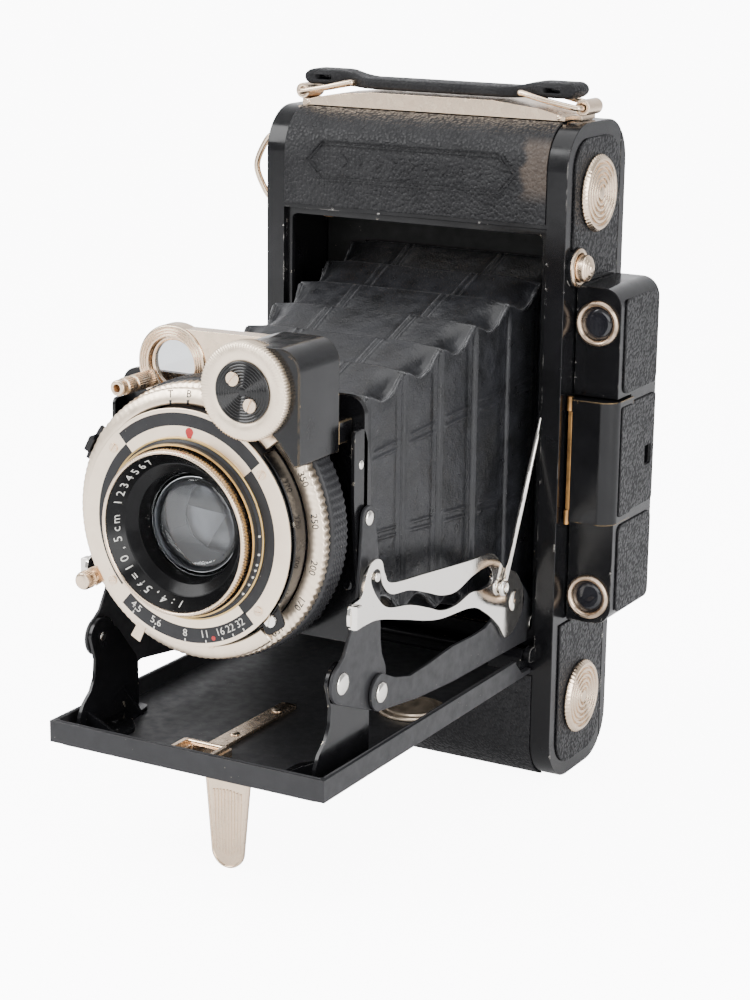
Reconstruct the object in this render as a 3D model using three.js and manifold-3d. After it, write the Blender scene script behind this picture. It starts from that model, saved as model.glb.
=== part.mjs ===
// Folding roll-film camera with a self-erecting front, standing on its end with the bed open.
// Millimetres. +Z is up, -Y is the way the lens looks, +X is the rangefinder side.
// The origin is the middle of the flat bottom face of the body.
import * as THREE from 'three';
import { mergeVertices } from 'three/addons/utils/BufferGeometryUtils.js';
import Module from 'manifold-3d';

const wasm = await Module();
wasm.setup();

// ---------- driving dimensions ----------
const GAP = 0.3; // clearance between pieces that turn or slide past each other
const FIT = 0.1; // clearance between pieces that lie flat on each other
const LAP = 0.1; // how far a joined solid reaches into its neighbour
const FAR = 200; // how far a cutting solid reaches past the camera

const BODY = { half: 41.1, front: -16.5, join: 13.6, back: 17, height: 163.5, corner: 11, wall: 1.6 };
const INSIDE_HALF = BODY.half - BODY.wall;
const OPENING = { half: 36.15, low: 34.4, high: 138.6 };
const SPOOL = {
  y: -0.8, high: 146.1, low: 19.5, flange: 11.5, rim: 1.2,
  core: 4, socket: 2.6, deep: 6, half: 32,
};
const GATE = { front: 10.6, back: 11.8, half: 39.2, low: 33.4, high: 134.4 };
const FRAME = { half: 28, low: 41.5, high: 127.5 }; // the picture aperture
const ROLLER = { y: 11.2, r: 2, high: 138.2, low: 29.6, half: 38.8 };
const PRESSURE = { front: 12.1, back: 13, half: 31, low: 38, high: 131 };
const RED_WINDOW = { x: 0, z: 84.5, r: 4 };
const SLIDE = { half: 6.5, tall: 5.5, front: 17.2, back: 18.1, grip: 19, gripR: 2.2, gripHole: 1 };
const BACK_SKIN = { half: 36.5, low: 15, high: 148, round: 3 };
const SLIDE_TRACK = { left: -10, right: 22, low: 78, high: 91 };
const LATCH = {
  half: 7, low: 140, high: 149, front: 17.2, back: 18,
  barHalf: 5, barLow: 143.6, barHigh: 145.4, bar: 19.2,
};
const HINGE_LUG = {
  inner: 34.9, outer: 36.9, nose: -20.2, front: -19.4,
  rear: -16, low: 32.2, high: 36, bar: 1,
};
const PIN = { strut: 1.2, rod: 0.9 };
const BED = {
  half: 35.8, front: -117.2, rear: -17.2, floorLow: 29.3,
  floor: 30.4, rim: 34.4, wall: 1.2, rimEnd: -25.3,
};
const BED_PIVOT = { y: -18.3, z: 34, bore: 1.15 };
const BRACKET = { inner: 22, front: -113, rear: -90, base: 31.5, rib: 31.2 };
const PAN = { low: 26.6, high: 29.2, inset: 6, bevel: 1.2, rearInset: 8, rearBevel: 3.5 };
const FOOT = { y: -98.9, z: 24.2, top: 11.8, tip: 8.6, thick: 1.2, neck: 3, pin: 1.3 };
const FOOT_PLATE = {
  half: 7.4, deep: 3.4, low: 25.8, high: 26.5,
  ear: 6.2, earDeep: 1.6, earLow: 22.8, post: 2,
};
const BUSH = { x: 25.6, y: -59.3, flange: 8.1, barrel: 5.5, thread: 3.1, top: 31.9, bore: 30.8 };
const CATCH = {
  half: 6, front: -115.8, rear: -106, top: 33.2,
  slot: 3, slotFront: -117, slotRear: -108, slotLow: 32,
};
const CATCH_SPRING = { half: 2, front: -106.5, rear: -72, top: 31.4 };
const LEG_FOOT = { y: -103.7, z: 51.35 }; // leg pivot on the bed
const LEG_HEAD = { y: -92.9, z: 85.7 }; // leg pivot on the lens standard
const LEG_CRANK = { y: -88.5, z: 45.1 }; // strut end beside the leg
const LEG_STUD = { y: -93.6, z: 73 };
const STRUT_PIVOT = { y: -12, z: 40.4 }; // strut pivot in the body
const LOCK_PIVOT = { y: -24.6, z: 49.7 }; // lock lever pivot on the strut
const ROD_TOP = { y: -5.6, z: 112, r: 2.1, bore: 1.2 };
const ROD_END = { y: -32.3, z: 54.8, r: 2, bore: 0.9 };
const ROD_WIRE = { r: 0.55, half: 0.5, start: 1.6 };
const RIVET = { foot: 1.3, footHead: 2.4, head: 1.7, stud: 1.2, crank: 2.2, lock: 1.1, tall: 0.6, bore: 1.5 };
// layers of the folding gear, as distances from the middle plane
const LAYER = { ear: [30.4, 31.2], leg: [31.5, 32.3], strut: [32.6, 33.4], lock: [33.7, 34.5], rod: 35.3 };
const LENS = { z: 83.8, rim: 18.1, front: -120.7, lip: 17.1, barrel: 12.9, bore: 11.9, hood: 4.6, long: 17 };
const LENS_LIP = { round: 0.5, inside: 0.4 };
const LENS_SHOULDER = { r: 15.2, deep: 6.2 }; // the step behind the hood
// radii and depths of the dark funnel that leads down to the front glass
const LENS_FUNNEL = [[14.6, 4.1], [12.3, 5.8], [11.9, 8.5]];
const FRONT_GLASS = { r: 11.6, front: -111, edge: 2, frontBulge: 1.2, backBulge: 0.8 };
const REAR_GLASS = { r: 11.2, front: -96, edge: 3, frontBulge: 0.8, backBulge: 0.8 };
const FACE = { outer: 26.1, inner: 18.7, front: -115.3, back: -114.75 };
const SHUTTER = { front: -114.1, r: 25.9, waist: 24, step: -99.4, neck: 14.6, tail: -88.5, bore: 13.2 };
const BOARD = { half: 31.2, low: 57, high: 112, front: -93.4, back: -91.9, hole: 15 };
const BELLOWS = { front: -91.6, back: 10.3, frontHalf: 22, frontLow: 61.5, frontHigh: 106 };
const BELLOWS_BACK = { half: 31.5, low: 40.5, high: 127.5, wall: 1.5 };
const SPEED_RING = { outer: 29.9, inner: 26.4, front: -112.5, back: -110.4 };
const SCALE_RING = { outer: 30.6, inner: 26.4, front: -108.9, back: -106.4, depth: 0.3, ridges: 40 };
const FOCUS_WHEEL = { outer: 31.2, inner: 26.4, front: -106.1, back: -99.6, depth: 0.5, ridges: 40 };
const IRIS = { outer: 12.6, inner: 6.5, front: -102.4, back: -101.8 };
const APERTURE = {
  front: -114.65, back: -114.2, outer: 25.6, inner: 22.5,
  reach: 30.4, width: 2.6, angle: 243,
};
const COCKING = {
  front: -113.4, back: -112.8, reach: 30.2, width: 4,
  angle: 210.5, post: 2.1, postFront: -117.4,
};
const RELEASE = { front: -110.2, back: -109.2, reach: 31.8, width: 5.4, angle: 151 };
const SOCKET = {
  front: -99.4, back: -98.8, reach: 34, width: 4.6, angle: 126,
  r: 1.9, bore: 0.9, end: -111.5, deep: -104,
};
const TAB_ROOT = 26.2; // distance from the lens axis at which levers leave the shutter
const FINDER_WHEEL = { x: 15.9, z: 115.8, r: 10.5, front: -117.6, back: -115.6, teeth: 36, depth: 0.35 };
const WHEEL_HUB = { dial: 6.6, proud: 0.5, shaft: 2.2, tail: -113, bore: 2.6 };
const WEDGE = {
  x: -14.7, z: 114.9, outer: 8.8, inner: 5.9,
  front: -98.5, back: -94, glassFront: -97, glassBack: -95.4,
};
const TURRET = { r: 9.6, right: 28.3, corner: 5, low: 101, front: -115.4, back: -99 };
const TURRET_FOOT = { inner: 24, low: 102.4, high: 107.4 };
const ARM = { hub: 7.6, hubLow: 5.4, frameHigh: 8, frameLow: 4.6 };
const HOUSING = {
  inner: 41.4, outer: 53, front: -9.6, back: 13.4, low: 42,
  high: 125, round: 4.5, wall: 1.4, end: 2,
};
const WINDOW = { x: 47.1, high: 116.4, low: 48.7, rim: 5.5, glass: 3.9, front: -10.8, paneBack: -9 };
const EYEPIECE = { r: 4.6, bore: 2.6, tall: 1.4 };
const FINDER_EYE = { z: 83, r: 3.4 };
const SIDE_SLOT = { low: 79, high: 84, front: 7.2, back: 10.6, inner: 50 };
const FINDER = {
  low: 67.9, high: 98.2, front: -13.5, back: -2,
  outer: 53.9, inner: 41.9, wall: 1.2, round: 4,
};
const BUTTON = {
  y: -11, z: 129.5, collar: 4.65, collarTop: 42.4, r: 3.2,
  tip: 2.2, root: 39.8, shoulder: 44.6, edge: 45.7, top: 46,
};
const KNOB = { r: 9.3, face: 43.2, stem: 2, chamfer: 0.8, rim: 1.2, dish: 2.4, sunk: 0.5 };
const KEY = {
  bar: 45.4, hole: 1.1, wire: 0.8, half: 7.5, reach: 54,
  yoke: 1.9, yokeTall: 4.5, collar: 5.4, bow: 4,
};
const SKIN = 0.5; // leather thickness
const SKIN_AREA = { inset: 3.6, rear: 12.4, knobHole: 4 };
const FRONT_SKIN = { half: 35.8, low: 139.7, rear: -8.6 };
const TOP_PLATE = {
  half: 36, deep: 8, low: 163.7, end: 164.9,
  shoulder: 166.2, shoulderX: 30, crown: 167.1, crownX: 19,
};
const LUG = { x: 38.5, z: 166.2, r: 1.9, bore: 1, half: 3.8, root: 34 };
const LOOP = { wire: 0.7, reach: 15.5, rise: 2.8, half: 5, bulge: 1.6 };
const STRAP = { half: 37, front: -6, back: 4, low: 167.5, high: 170.5, fold: 26, waist: 3.6, swing: 3.3 };
const STRAP_END = { low: 167.9, high: 171.9, wall: 1.2 };

// ---------- shape helpers ----------
const AXES = {
  X: new THREE.Matrix4().set(0, 0, 1, 0, 1, 0, 0, 0, 0, 1, 0, 0, 0, 0, 0, 1),
  Y: new THREE.Matrix4().set(1, 0, 0, 0, 0, 0, -1, 0, 0, 1, 0, 0, 0, 0, 0, 1),
  Z: new THREE.Matrix4(),
};

// Joins the corners of a geometry, drops empty triangles and turns the faces outwards.
function weld(geometry) {
  const plain = geometry.clone();
  for (const name of Object.keys(plain.attributes)) {
    if (name !== 'position') plain.deleteAttribute(name);
  }
  const merged = mergeVertices(plain, 1e-4);
  const index = merged.index.array;
  const place = merged.attributes.position;
  const kept = [];
  let volume = 0;
  const [a, b, c] = [new THREE.Vector3(), new THREE.Vector3(), new THREE.Vector3()];
  for (let i = 0; i < index.length; i += 3) {
    const [p, q, r] = [index[i], index[i + 1], index[i + 2]];
    if (p === q || q === r || r === p) continue;
    kept.push([p, q, r]);
    a.fromBufferAttribute(place, p);
    b.fromBufferAttribute(place, q);
    c.fromBufferAttribute(place, r);
    volume += a.dot(b.cross(c));
  }
  const order = volume < 0 ? kept.map(([p, q, r]) => [p, r, q]) : kept;
  const vertProperties = new Float32Array(place.array);
  const triVerts = new Uint32Array(order.flat());
  return new wasm.Manifold(new wasm.Mesh({ numProp: 3, vertProperties, triVerts }));
}

function geometryOf(solid) {
  const mesh = solid.getMesh();
  const geometry = new THREE.BufferGeometry();
  geometry.setAttribute('position', new THREE.BufferAttribute(mesh.vertProperties.slice(), 3));
  geometry.setIndex(new THREE.BufferAttribute(mesh.triVerts.slice(), 1));
  geometry.computeVertexNormals();
  return geometry;
}

function box(x0, x1, y0, y1, z0, z1) {
  const geometry = new THREE.BoxGeometry(x1 - x0, y1 - y0, z1 - z0);
  geometry.translate((x0 + x1) / 2, (y0 + y1) / 2, (z0 + z1) / 2);
  return weld(geometry);
}

// An outline pushed along an axis from one station to the next.
// It is drawn as (y, z) along X, as (x, z) along Y and as (x, y) along Z.
function plate(axis, shape, from, to, curveSegments = 5) {
  const geometry = new THREE.ExtrudeGeometry(shape, { depth: to - from, bevelEnabled: false, curveSegments });
  const along = axis === 'Y' ? -to : from;
  geometry.translate(0, 0, along);
  geometry.applyMatrix4(AXES[axis]);
  return weld(geometry);
}

// A round bar along an axis through the point (u, v) of the plane across it.
function rod(axis, u, v, radius, from, to, sides = 16) {
  const shape = new THREE.Shape();
  shape.absarc(u, v, radius, 0, Math.PI * 2);
  return plate(axis, shape, from, to, sides / 2);
}

function ring(axis, u, v, outer, inner, from, to, sides = 28) {
  return rod(axis, u, v, outer, from, to, sides).subtract(rod(axis, u, v, inner, from - 1, to + 1, sides));
}

function lathed(profile, sides) {
  const points = profile.map(([radius, station]) => new THREE.Vector2(radius, station));
  return new THREE.LatheGeometry(points, sides);
}

// A profile of [radius, station] points turned about the Y axis through (x, z).
function turned(x, z, profile, sides = 28) {
  const geometry = lathed(profile, sides);
  geometry.translate(x, 0, z);
  return weld(geometry);
}

// The same about an X axis through (y, z).
function turnedX(y, z, profile, sides = 24) {
  const geometry = lathed(profile, sides);
  geometry.rotateZ(-Math.PI / 2);
  geometry.translate(0, y, z);
  return weld(geometry);
}

function outline(points) {
  return new THREE.Shape(points.map(([u, v]) => new THREE.Vector2(u, v)));
}

// A closed smooth curve through the points.
function smoothOutline(points, stepsPerPoint = 2) {
  const loop = new THREE.CatmullRomCurve3(points.map(([u, v]) => new THREE.Vector3(u, v, 0)), true);
  const samples = loop.getPoints(points.length * stepsPerPoint).slice(0, -1);
  return new THREE.Shape(samples.map((p) => new THREE.Vector2(p.x, p.y)));
}

function roundedRect(u0, u1, v0, v1, radius) {
  const shape = new THREE.Shape();
  shape.absarc(u1 - radius, v0 + radius, radius, -Math.PI / 2, 0);
  shape.absarc(u1 - radius, v1 - radius, radius, 0, Math.PI / 2);
  shape.absarc(u0 + radius, v1 - radius, radius, Math.PI / 2, Math.PI);
  shape.absarc(u0 + radius, v0 + radius, radius, Math.PI, Math.PI * 1.5);
  return shape;
}

function toothed(u, v, radius, depth, count) {
  const points = [];
  for (let i = 0; i < count * 2; i += 1) {
    const angle = (Math.PI * i) / count;
    const reach = i % 2 === 0 ? radius : radius - depth;
    points.push([u + reach * Math.cos(angle), v + reach * Math.sin(angle)]);
  }
  return outline(points);
}

// A box whose bottom and top rectangles differ: low and high are [x0, x1, y0, y1] at heights z0 and z1.
function frustum(low, high, z0, z1) {
  const corners = [];
  for (const [[x0, x1, y0, y1], z] of [[low, z0], [high, z1]]) {
    corners.push([x0, y0, z], [x1, y0, z], [x1, y1, z], [x0, y1, z]);
  }
  const faces = [[0, 3, 2, 1], [4, 5, 6, 7], [0, 1, 5, 4], [1, 2, 6, 5], [2, 3, 7, 6], [3, 0, 4, 7]];
  const index = faces.flatMap(([a, b, c, d]) => [a, b, c, a, c, d]);
  const geometry = new THREE.BufferGeometry();
  geometry.setAttribute('position', new THREE.Float32BufferAttribute(corners.flat(), 3));
  geometry.setIndex(index);
  return weld(geometry);
}

// A round wire through a list of points.
function wire(points, radius, steps = 12, sides = 6) {
  const path = new THREE.CatmullRomCurve3(points.map((p) => new THREE.Vector3(...p)));
  const section = new THREE.Shape();
  section.absarc(0, 0, radius, 0, Math.PI * 2);
  const options = { steps, extrudePath: path, curveSegments: sides / 2, bevelEnabled: false };
  return weld(new THREE.ExtrudeGeometry(section, options));
}

function mirrorX(solid) {
  return solid.mirror([1, 0, 0]);
}

// Spreads a layer of the folding gear to the right (+1) or the left (-1) side.
function sidePlate(shape, layer, side, segments = 10) {
  const right = plate('X', shape, layer[0], layer[1], segments);
  return side > 0 ? right : mirrorX(right);
}

function sideRod(point, radius, from, to, side, sides = 12) {
  const right = rod('X', point.y, point.z, radius, from, to, sides);
  return side > 0 ? right : mirrorX(right);
}

// ---------- finishes ----------
const LOOKS = {
  enamel: { color: 0x0b0b0d, roughness: 0.25, metalness: 0.1 },
  leather: { color: 0x17171a, roughness: 0.6, metalness: 0 },
  bellows: { color: 0x1c1e22, roughness: 0.5, metalness: 0 },
  nickel: { color: 0xc9bfae, roughness: 0.25, metalness: 1 },
  chrome: { color: 0xdedcd6, roughness: 0.08, metalness: 1 },
  glass: { color: 0x8d9499, roughness: 0.03, metalness: 0 },
  wood: { color: 0x6b4a2c, roughness: 0.7, metalness: 0 },
};

const camera = new THREE.Group();

function add(name, look, solid) {
  const mesh = new THREE.Mesh(geometryOf(solid), new THREE.MeshStandardMaterial(LOOKS[look]));
  mesh.name = name;
  camera.add(mesh);
}

const SIDES = [['right', 1], ['left', -1]];

// ---------- body ----------
function bodyBlock() {
  const profile = roundedRect(BODY.front, BODY.back, 0, BODY.height, BODY.corner);
  return plate('X', profile, -BODY.half, BODY.half);
}

function hingeLug() {
  const g = HINGE_LUG;
  const shape = outline([
    [g.nose, g.low + 0.8], [g.front, g.low], [g.rear, g.low],
    [g.rear, g.high], [g.front, g.high], [g.nose, g.high - 1],
  ]);
  const bar = rod('X', BED_PIVOT.y, BED_PIVOT.z, g.bar, -1, g.inner + 1);
  return plate('X', shape, g.inner, g.outer).add(bar);
}

function bodyShell() {
  const through = [BODY.half - 2 * BODY.wall, BODY.half + 2 * BODY.wall];
  const deep = BODY.back + BODY.corner * 2;
  const [low, high] = [BODY.wall, BODY.height - BODY.wall];
  const inside = roundedRect(BODY.front + BODY.wall, deep, low, high, BODY.corner - BODY.wall);
  let shell = bodyBlock()
    .intersect(box(-FAR, FAR, -FAR, BODY.join, -FAR, FAR))
    .subtract(plate('X', inside, -INSIDE_HALF, INSIDE_HALF))
    .subtract(box(-OPENING.half, OPENING.half, -FAR, BODY.front + 2 * BODY.wall, OPENING.low, OPENING.high));
  const stemHole = KNOB.stem + GAP;
  for (const z of [SPOOL.high, SPOOL.low]) shell = shell.subtract(rod('X', SPOOL.y, z, stemHole, ...through));
  shell = shell
    .subtract(mirrorX(rod('X', SPOOL.y, SPOOL.high, stemHole, ...through)))
    .subtract(rod('X', BUTTON.y, BUTTON.z, BUTTON.r + GAP, ...through))
    .add(rod('X', SPOOL.y, SPOOL.low, KNOB.stem, -INSIDE_HALF - LAP, -SPOOL.half + 2));
  const wallEnd = INSIDE_HALF + LAP;
  const pins = rod('X', STRUT_PIVOT.y, STRUT_PIVOT.z, PIN.strut, LAYER.leg[1] + FIT, wallEnd)
    .add(rod('X', ROD_TOP.y, ROD_TOP.z, PIN.rod, LAYER.lock[1] + 2 * FIT, wallEnd));
  for (const extra of [hingeLug(), pins]) shell = shell.add(extra).add(mirrorX(extra));
  const bore = BUTTON.r + GAP;
  return shell.add(ring('X', BUTTON.y, BUTTON.z, BUTTON.collar, bore, BODY.half - LAP, BUTTON.collarTop, 32));
}

function filmGate() {
  const face = box(-GATE.half, GATE.half, GATE.front, GATE.back, GATE.low, GATE.high);
  return face.subtract(box(-FRAME.half, FRAME.half, -FAR, FAR, FRAME.low, FRAME.high));
}

// A film spool: a core between two flanges, with a socket in each end.
function spool(z) {
  const s = SPOOL;
  const profile = [
    [0, s.deep - s.half], [s.socket, s.deep - s.half], [s.socket, -s.half], [s.flange, -s.half],
    [s.flange, s.rim - s.half], [s.core, s.rim - s.half], [s.core, s.half - s.rim],
    [s.flange, s.half - s.rim],
    [s.flange, s.half], [s.socket, s.half], [s.socket, s.half - s.deep], [0, s.half - s.deep],
  ];
  return turnedX(s.y, z, profile, 20);
}

function spoolKnob(z) {
  const k = KNOB;
  const under = BODY.half + SKIN + GAP;
  const root = SPOOL.half - 2;
  const profile = [
    [0, root], [k.stem, root], [k.stem, under], [k.r, under], [k.r, k.face - k.chamfer],
    [k.r - k.rim, k.face], [k.r - k.dish, k.face - k.sunk], [0, k.face - k.sunk],
  ];
  return turnedX(SPOOL.y, z, profile);
}

function windingSpindle() {
  const under = BODY.half + SKIN + GAP;
  const root = SPOOL.half - 2;
  const collarTop = under + 2.2;
  const profile = [
    [0, -collarTop], [KEY.collar - 0.4, -collarTop], [KEY.collar, 0.6 - collarTop], [KEY.collar, -under],
    [KNOB.stem, -under], [KNOB.stem, -root], [0, -root],
  ];
  const [low, high] = [SPOOL.high - KEY.yokeTall, SPOOL.high + KEY.yokeTall];
  const yoke = box(-KEY.bar - KEY.yoke, -under - 2, SPOOL.y - KEY.yoke, SPOOL.y + KEY.yoke, low, high);
  const hole = rod('Z', -KEY.bar, SPOOL.y, KEY.hole, low - 1, high + 1);
  return turnedX(SPOOL.y, SPOOL.high, profile).add(yoke).subtract(hole);
}

// The key's wire bow, from one end of its hinge bar round to the other.
function windingWire() {
  const half = [
    [KEY.bar, KEY.half], [KEY.bar + KEY.bow, KEY.half + 0.6], [KEY.reach - KEY.wire * 2, KEY.yokeTall],
  ];
  const place = (reach, rise) => [-reach, SPOOL.y, SPOOL.high + rise];
  const lower = half.map(([reach, rise]) => place(reach, -rise));
  const upper = half.map(([reach, rise]) => place(reach, rise)).reverse();
  const bow = wire([...lower, place(KEY.reach, 0), ...upper], KEY.wire, 14);
  const bar = rod('Z', -KEY.bar, SPOOL.y, KEY.wire, SPOOL.high - KEY.half, SPOOL.high + KEY.half, 12);
  return bar.add(bow);
}

// Leather on a side of the body between two heights, cut out round the knobs and the button.
function sideSkin(side, low, high) {
  const { inset, rear, knobHole } = SKIN_AREA;
  const area = roundedRect(BODY.front + inset, rear, inset, BODY.height - inset, BODY.corner - inset);
  const skin = plate('X', area, BODY.half + FIT, BODY.half + SKIN)
    .intersect(box(0, FAR, -FAR, FAR, low, high))
    .subtract(rod('X', SPOOL.y, SPOOL.high, knobHole, 0, FAR));
  if (side < 0) return mirrorX(skin);
  return skin
    .subtract(rod('X', SPOOL.y, SPOOL.low, knobHole, 0, FAR))
    .subtract(rod('X', BUTTON.y, BUTTON.z, BUTTON.collar + GAP, 0, FAR));
}

// The body's end profile grown by the same amount all round, pushed across the body.
function grownBody(grow, half) {
  const profile = roundedRect(BODY.front - grow, BODY.back, -grow, BODY.height + grow, BODY.corner + grow);
  return plate('X', profile, -half, half);
}

// Leather that wraps the front of the body and its rounded top.
function frontSkin() {
  const f = FRONT_SKIN;
  return grownBody(SKIN, f.half)
    .subtract(grownBody(FIT, FAR))
    .intersect(box(-FAR, FAR, -FAR, f.rear, f.low, FAR));
}

function backCover() {
  return bodyBlock()
    .intersect(box(-FAR, FAR, BODY.join + GAP, FAR, -FAR, FAR))
    .subtract(rod('Y', RED_WINDOW.x, RED_WINDOW.z, RED_WINDOW.r + FIT, 0, FAR));
}

function backSkin() {
  const b = BACK_SKIN;
  const t = SLIDE_TRACK;
  return plate('Y', roundedRect(-b.half, b.half, b.low, b.high, b.round), BODY.back + FIT, BODY.back + SKIN)
    .subtract(box(t.left, t.right, 0, FAR, t.low, t.high))
    .subtract(box(-LATCH.half - 1, LATCH.half + 1, 0, FAR, LATCH.barLow - LATCH.half - 1, FAR));
}

function redWindowSlide() {
  const s = SLIDE;
  const [low, high] = [RED_WINDOW.z - s.tall, RED_WINDOW.z + s.tall];
  const grip = ring('Y', RED_WINDOW.x, RED_WINDOW.z, s.gripR, s.gripHole, s.back - LAP, s.grip, 20);
  return box(-s.half, s.half, s.front, s.back, low, high).add(grip);
}

function backLatch() {
  const t = LATCH;
  const bar = box(-t.barHalf, t.barHalf, t.back - LAP, t.bar, t.barLow, t.barHigh);
  return box(-t.half, t.half, t.front, t.back, t.low, t.high).add(bar);
}

function pressurePlate() {
  const p = PRESSURE;
  return box(-p.half, p.half, p.front, p.back, p.low, p.high)
    .subtract(rod('Y', RED_WINDOW.x, RED_WINDOW.z, RED_WINDOW.r, 0, FAR));
}

function releaseButton() {
  const b = BUTTON;
  return turnedX(b.y, b.z, [[0, b.root], [b.r, b.root], [b.r, b.shoulder], [b.tip, b.edge], [0, b.top]], 32);
}

add('body_shell', 'enamel', bodyShell());
add('film_gate', 'enamel', filmGate());
add('front_leather_top', 'leather', frontSkin());
add('side_leather_right_top', 'leather', sideSkin(1, HOUSING.high + 1, BODY.height));
add('side_leather_right_bottom', 'leather', sideSkin(1, 0, HOUSING.low - 1));
add('side_leather_left', 'leather', sideSkin(-1, 0, BODY.height));
for (const [place, z, rollerZ] of [['takeup', SPOOL.high, ROLLER.high], ['supply', SPOOL.low, ROLLER.low]]) {
  const end = place === 'takeup' ? 'top' : 'bottom';
  add(`${place}_spool`, 'wood', spool(z));
  add(`film_roller_${end}`, 'nickel', rod('X', ROLLER.y, rollerZ, ROLLER.r, -ROLLER.half, ROLLER.half));
  add(`spool_knob_${end}`, 'nickel', spoolKnob(z));
}
add('winding_key_spindle', 'nickel', windingSpindle());
add('winding_key_wire', 'nickel', windingWire());
add('release_button', 'nickel', releaseButton());
add('back_cover', 'enamel', backCover());
add('back_leather', 'leather', backSkin());
add('pressure_plate', 'nickel', pressurePlate());
add('red_window_slide', 'enamel', redWindowSlide());
add('back_latch', 'nickel', backLatch());

// ---------- top plate and handle ----------
// The arched plate on top, rolled at both ends into a tube for the handle's wire.
function topPlate() {
  const t = TOP_PLATE;
  const right = [[t.half, t.low], [t.half, t.end], [t.shoulderX, t.shoulder], [t.crownX, t.crown]];
  const left = right.map(([x, z]) => [-x, z]).reverse();
  const arch = plate('Y', outline([...right, ...left]), -t.deep, t.deep);
  const roll = rod('Y', LUG.x, LUG.z, LUG.r, -LUG.half, LUG.half)
    .add(box(LUG.root, LUG.x, -LUG.half, LUG.half, t.low, t.end))
    .subtract(rod('Y', LUG.x, LUG.z, LUG.bore, -FAR, FAR));
  return arch.add(roll).add(mirrorX(roll));
}

function handleLoop(side) {
  const { half, bulge } = LOOP;
  const inner = LUG.x - LOOP.reach;
  const high = LUG.z + LOOP.rise;
  const middle = [(LUG.x + inner) / 2, -half - bulge, (LUG.z + high) / 2];
  const loop = rod('Y', LUG.x, LUG.z, LOOP.wire, -half, half, 12)
    .add(rod('Y', inner, high, LOOP.wire, -half - 1, half, 12))
    .add(wire([[LUG.x, -half, LUG.z], middle, [inner, -half - 1, high]], LOOP.wire, 8))
    .add(wire([[LUG.x, half, LUG.z], [inner, half, high]], LOOP.wire, 4));
  return side > 0 ? loop : mirrorX(loop);
}

// A leather grip, thicker where its ends fold back, with a slot for each wire loop.
function handleStrap() {
  const t = STRAP;
  const slot = LUG.x - LOOP.reach;
  const grip = box(-t.fold, t.fold, t.front, t.back, t.low, t.high);
  const { low, high, wall } = STRAP_END;
  const end = box(t.fold - 1, t.half, -t.waist, t.waist, low, high)
    .subtract(box(t.fold + 2 * wall, t.half - wall, -FAR, FAR, low + wall, high - wall));
  const tunnel = box(slot - 1, slot + t.swing, -FAR, FAR, t.low + 0.4, t.high - 0.4);
  const sides = box(slot - 3, t.fold, -FAR, -t.waist, t.low - 1, t.high + 1)
    .add(box(slot - 3, t.fold, t.waist, FAR, t.low - 1, t.high + 1));
  const cuts = tunnel.add(sides);
  return grip.add(end).add(mirrorX(end)).subtract(cuts).subtract(mirrorX(cuts));
}

add('top_plate', 'nickel', topPlate());
add('handle_loop_right', 'nickel', handleLoop(1));
add('handle_loop_left', 'nickel', handleLoop(-1));
add('handle_strap', 'leather', handleStrap());

// ---------- rangefinder housing ----------
// Three chambers behind one front: the rangefinder above and below, the viewfinder between.
function housing() {
  const h = HOUSING;
  const outer = h.outer - h.wall;
  const [front, back] = [h.front + h.wall, h.back - h.wall];
  const shape = new THREE.Shape();
  shape.moveTo(h.inner, h.low);
  shape.lineTo(h.outer - h.round, h.low);
  shape.absarc(h.outer - h.round, h.low + h.round, h.round, -Math.PI / 2, 0);
  shape.absarc(h.outer - h.round, h.high - h.round, h.round, 0, Math.PI / 2);
  shape.lineTo(h.inner, h.high);
  let block = plate('Y', shape, h.front, h.back)
    .subtract(box(0, FAR, -FAR, FINDER.back + GAP, FINDER.low - GAP, FINDER.high + GAP))
    .subtract(box(0, outer, front, back, FINDER.high + h.end, h.high - h.end))
    .subtract(box(0, outer, front, back, h.low + h.end, FINDER.low - h.end))
    .subtract(box(h.inner + FINDER.wall, outer, FINDER.back - 3, back, FINDER.low + 1.5, FINDER.high - 1.5));
  for (const z of [WINDOW.high, WINDOW.low]) {
    block = block.subtract(rod('Y', WINDOW.x, z, WINDOW.glass + 0.6, WINDOW.front - 1, 0, 32));
  }
  return block
    .add(rod('Y', WINDOW.x, WINDOW.high, EYEPIECE.r, h.back - LAP, h.back + EYEPIECE.tall, 32))
    .subtract(rod('Y', WINDOW.x, WINDOW.high, EYEPIECE.bore, 5, FAR))
    .subtract(rod('Y', WINDOW.x, FINDER_EYE.z, FINDER_EYE.r, 5, FAR))
    .subtract(box(SIDE_SLOT.inner, FAR, SIDE_SLOT.front, SIDE_SLOT.back, SIDE_SLOT.low, SIDE_SLOT.high));
}

function finderCover() {
  const f = FINDER;
  const shape = new THREE.Shape();
  shape.moveTo(f.inner, f.back);
  shape.lineTo(f.inner, f.front);
  shape.absarc(f.outer - f.round, f.front + f.round, f.round, -Math.PI / 2, 0);
  shape.lineTo(f.outer, f.back);
  const [left, right] = [f.inner + f.wall, f.outer - f.wall - 1.6];
  const front = f.front + f.wall + 1.4;
  return plate('Z', shape, f.low, f.high)
    .subtract(box(left, right, front, FAR, f.low + f.wall, f.high - f.wall));
}

add('rangefinder_housing', 'enamel', housing());
add('finder_cover', 'enamel', finderCover());
for (const [name, z] of [['top', WINDOW.high], ['bottom', WINDOW.low]]) {
  const pane = rod('Y', WINDOW.x, z, WINDOW.glass, WINDOW.front, WINDOW.paneBack, 20);
  const rim = rod('Y', WINDOW.x, z, WINDOW.rim, WINDOW.front, HOUSING.front - FIT, 24);
  add(`rangefinder_window_${name}`, 'glass', rim.add(pane));
}

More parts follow.
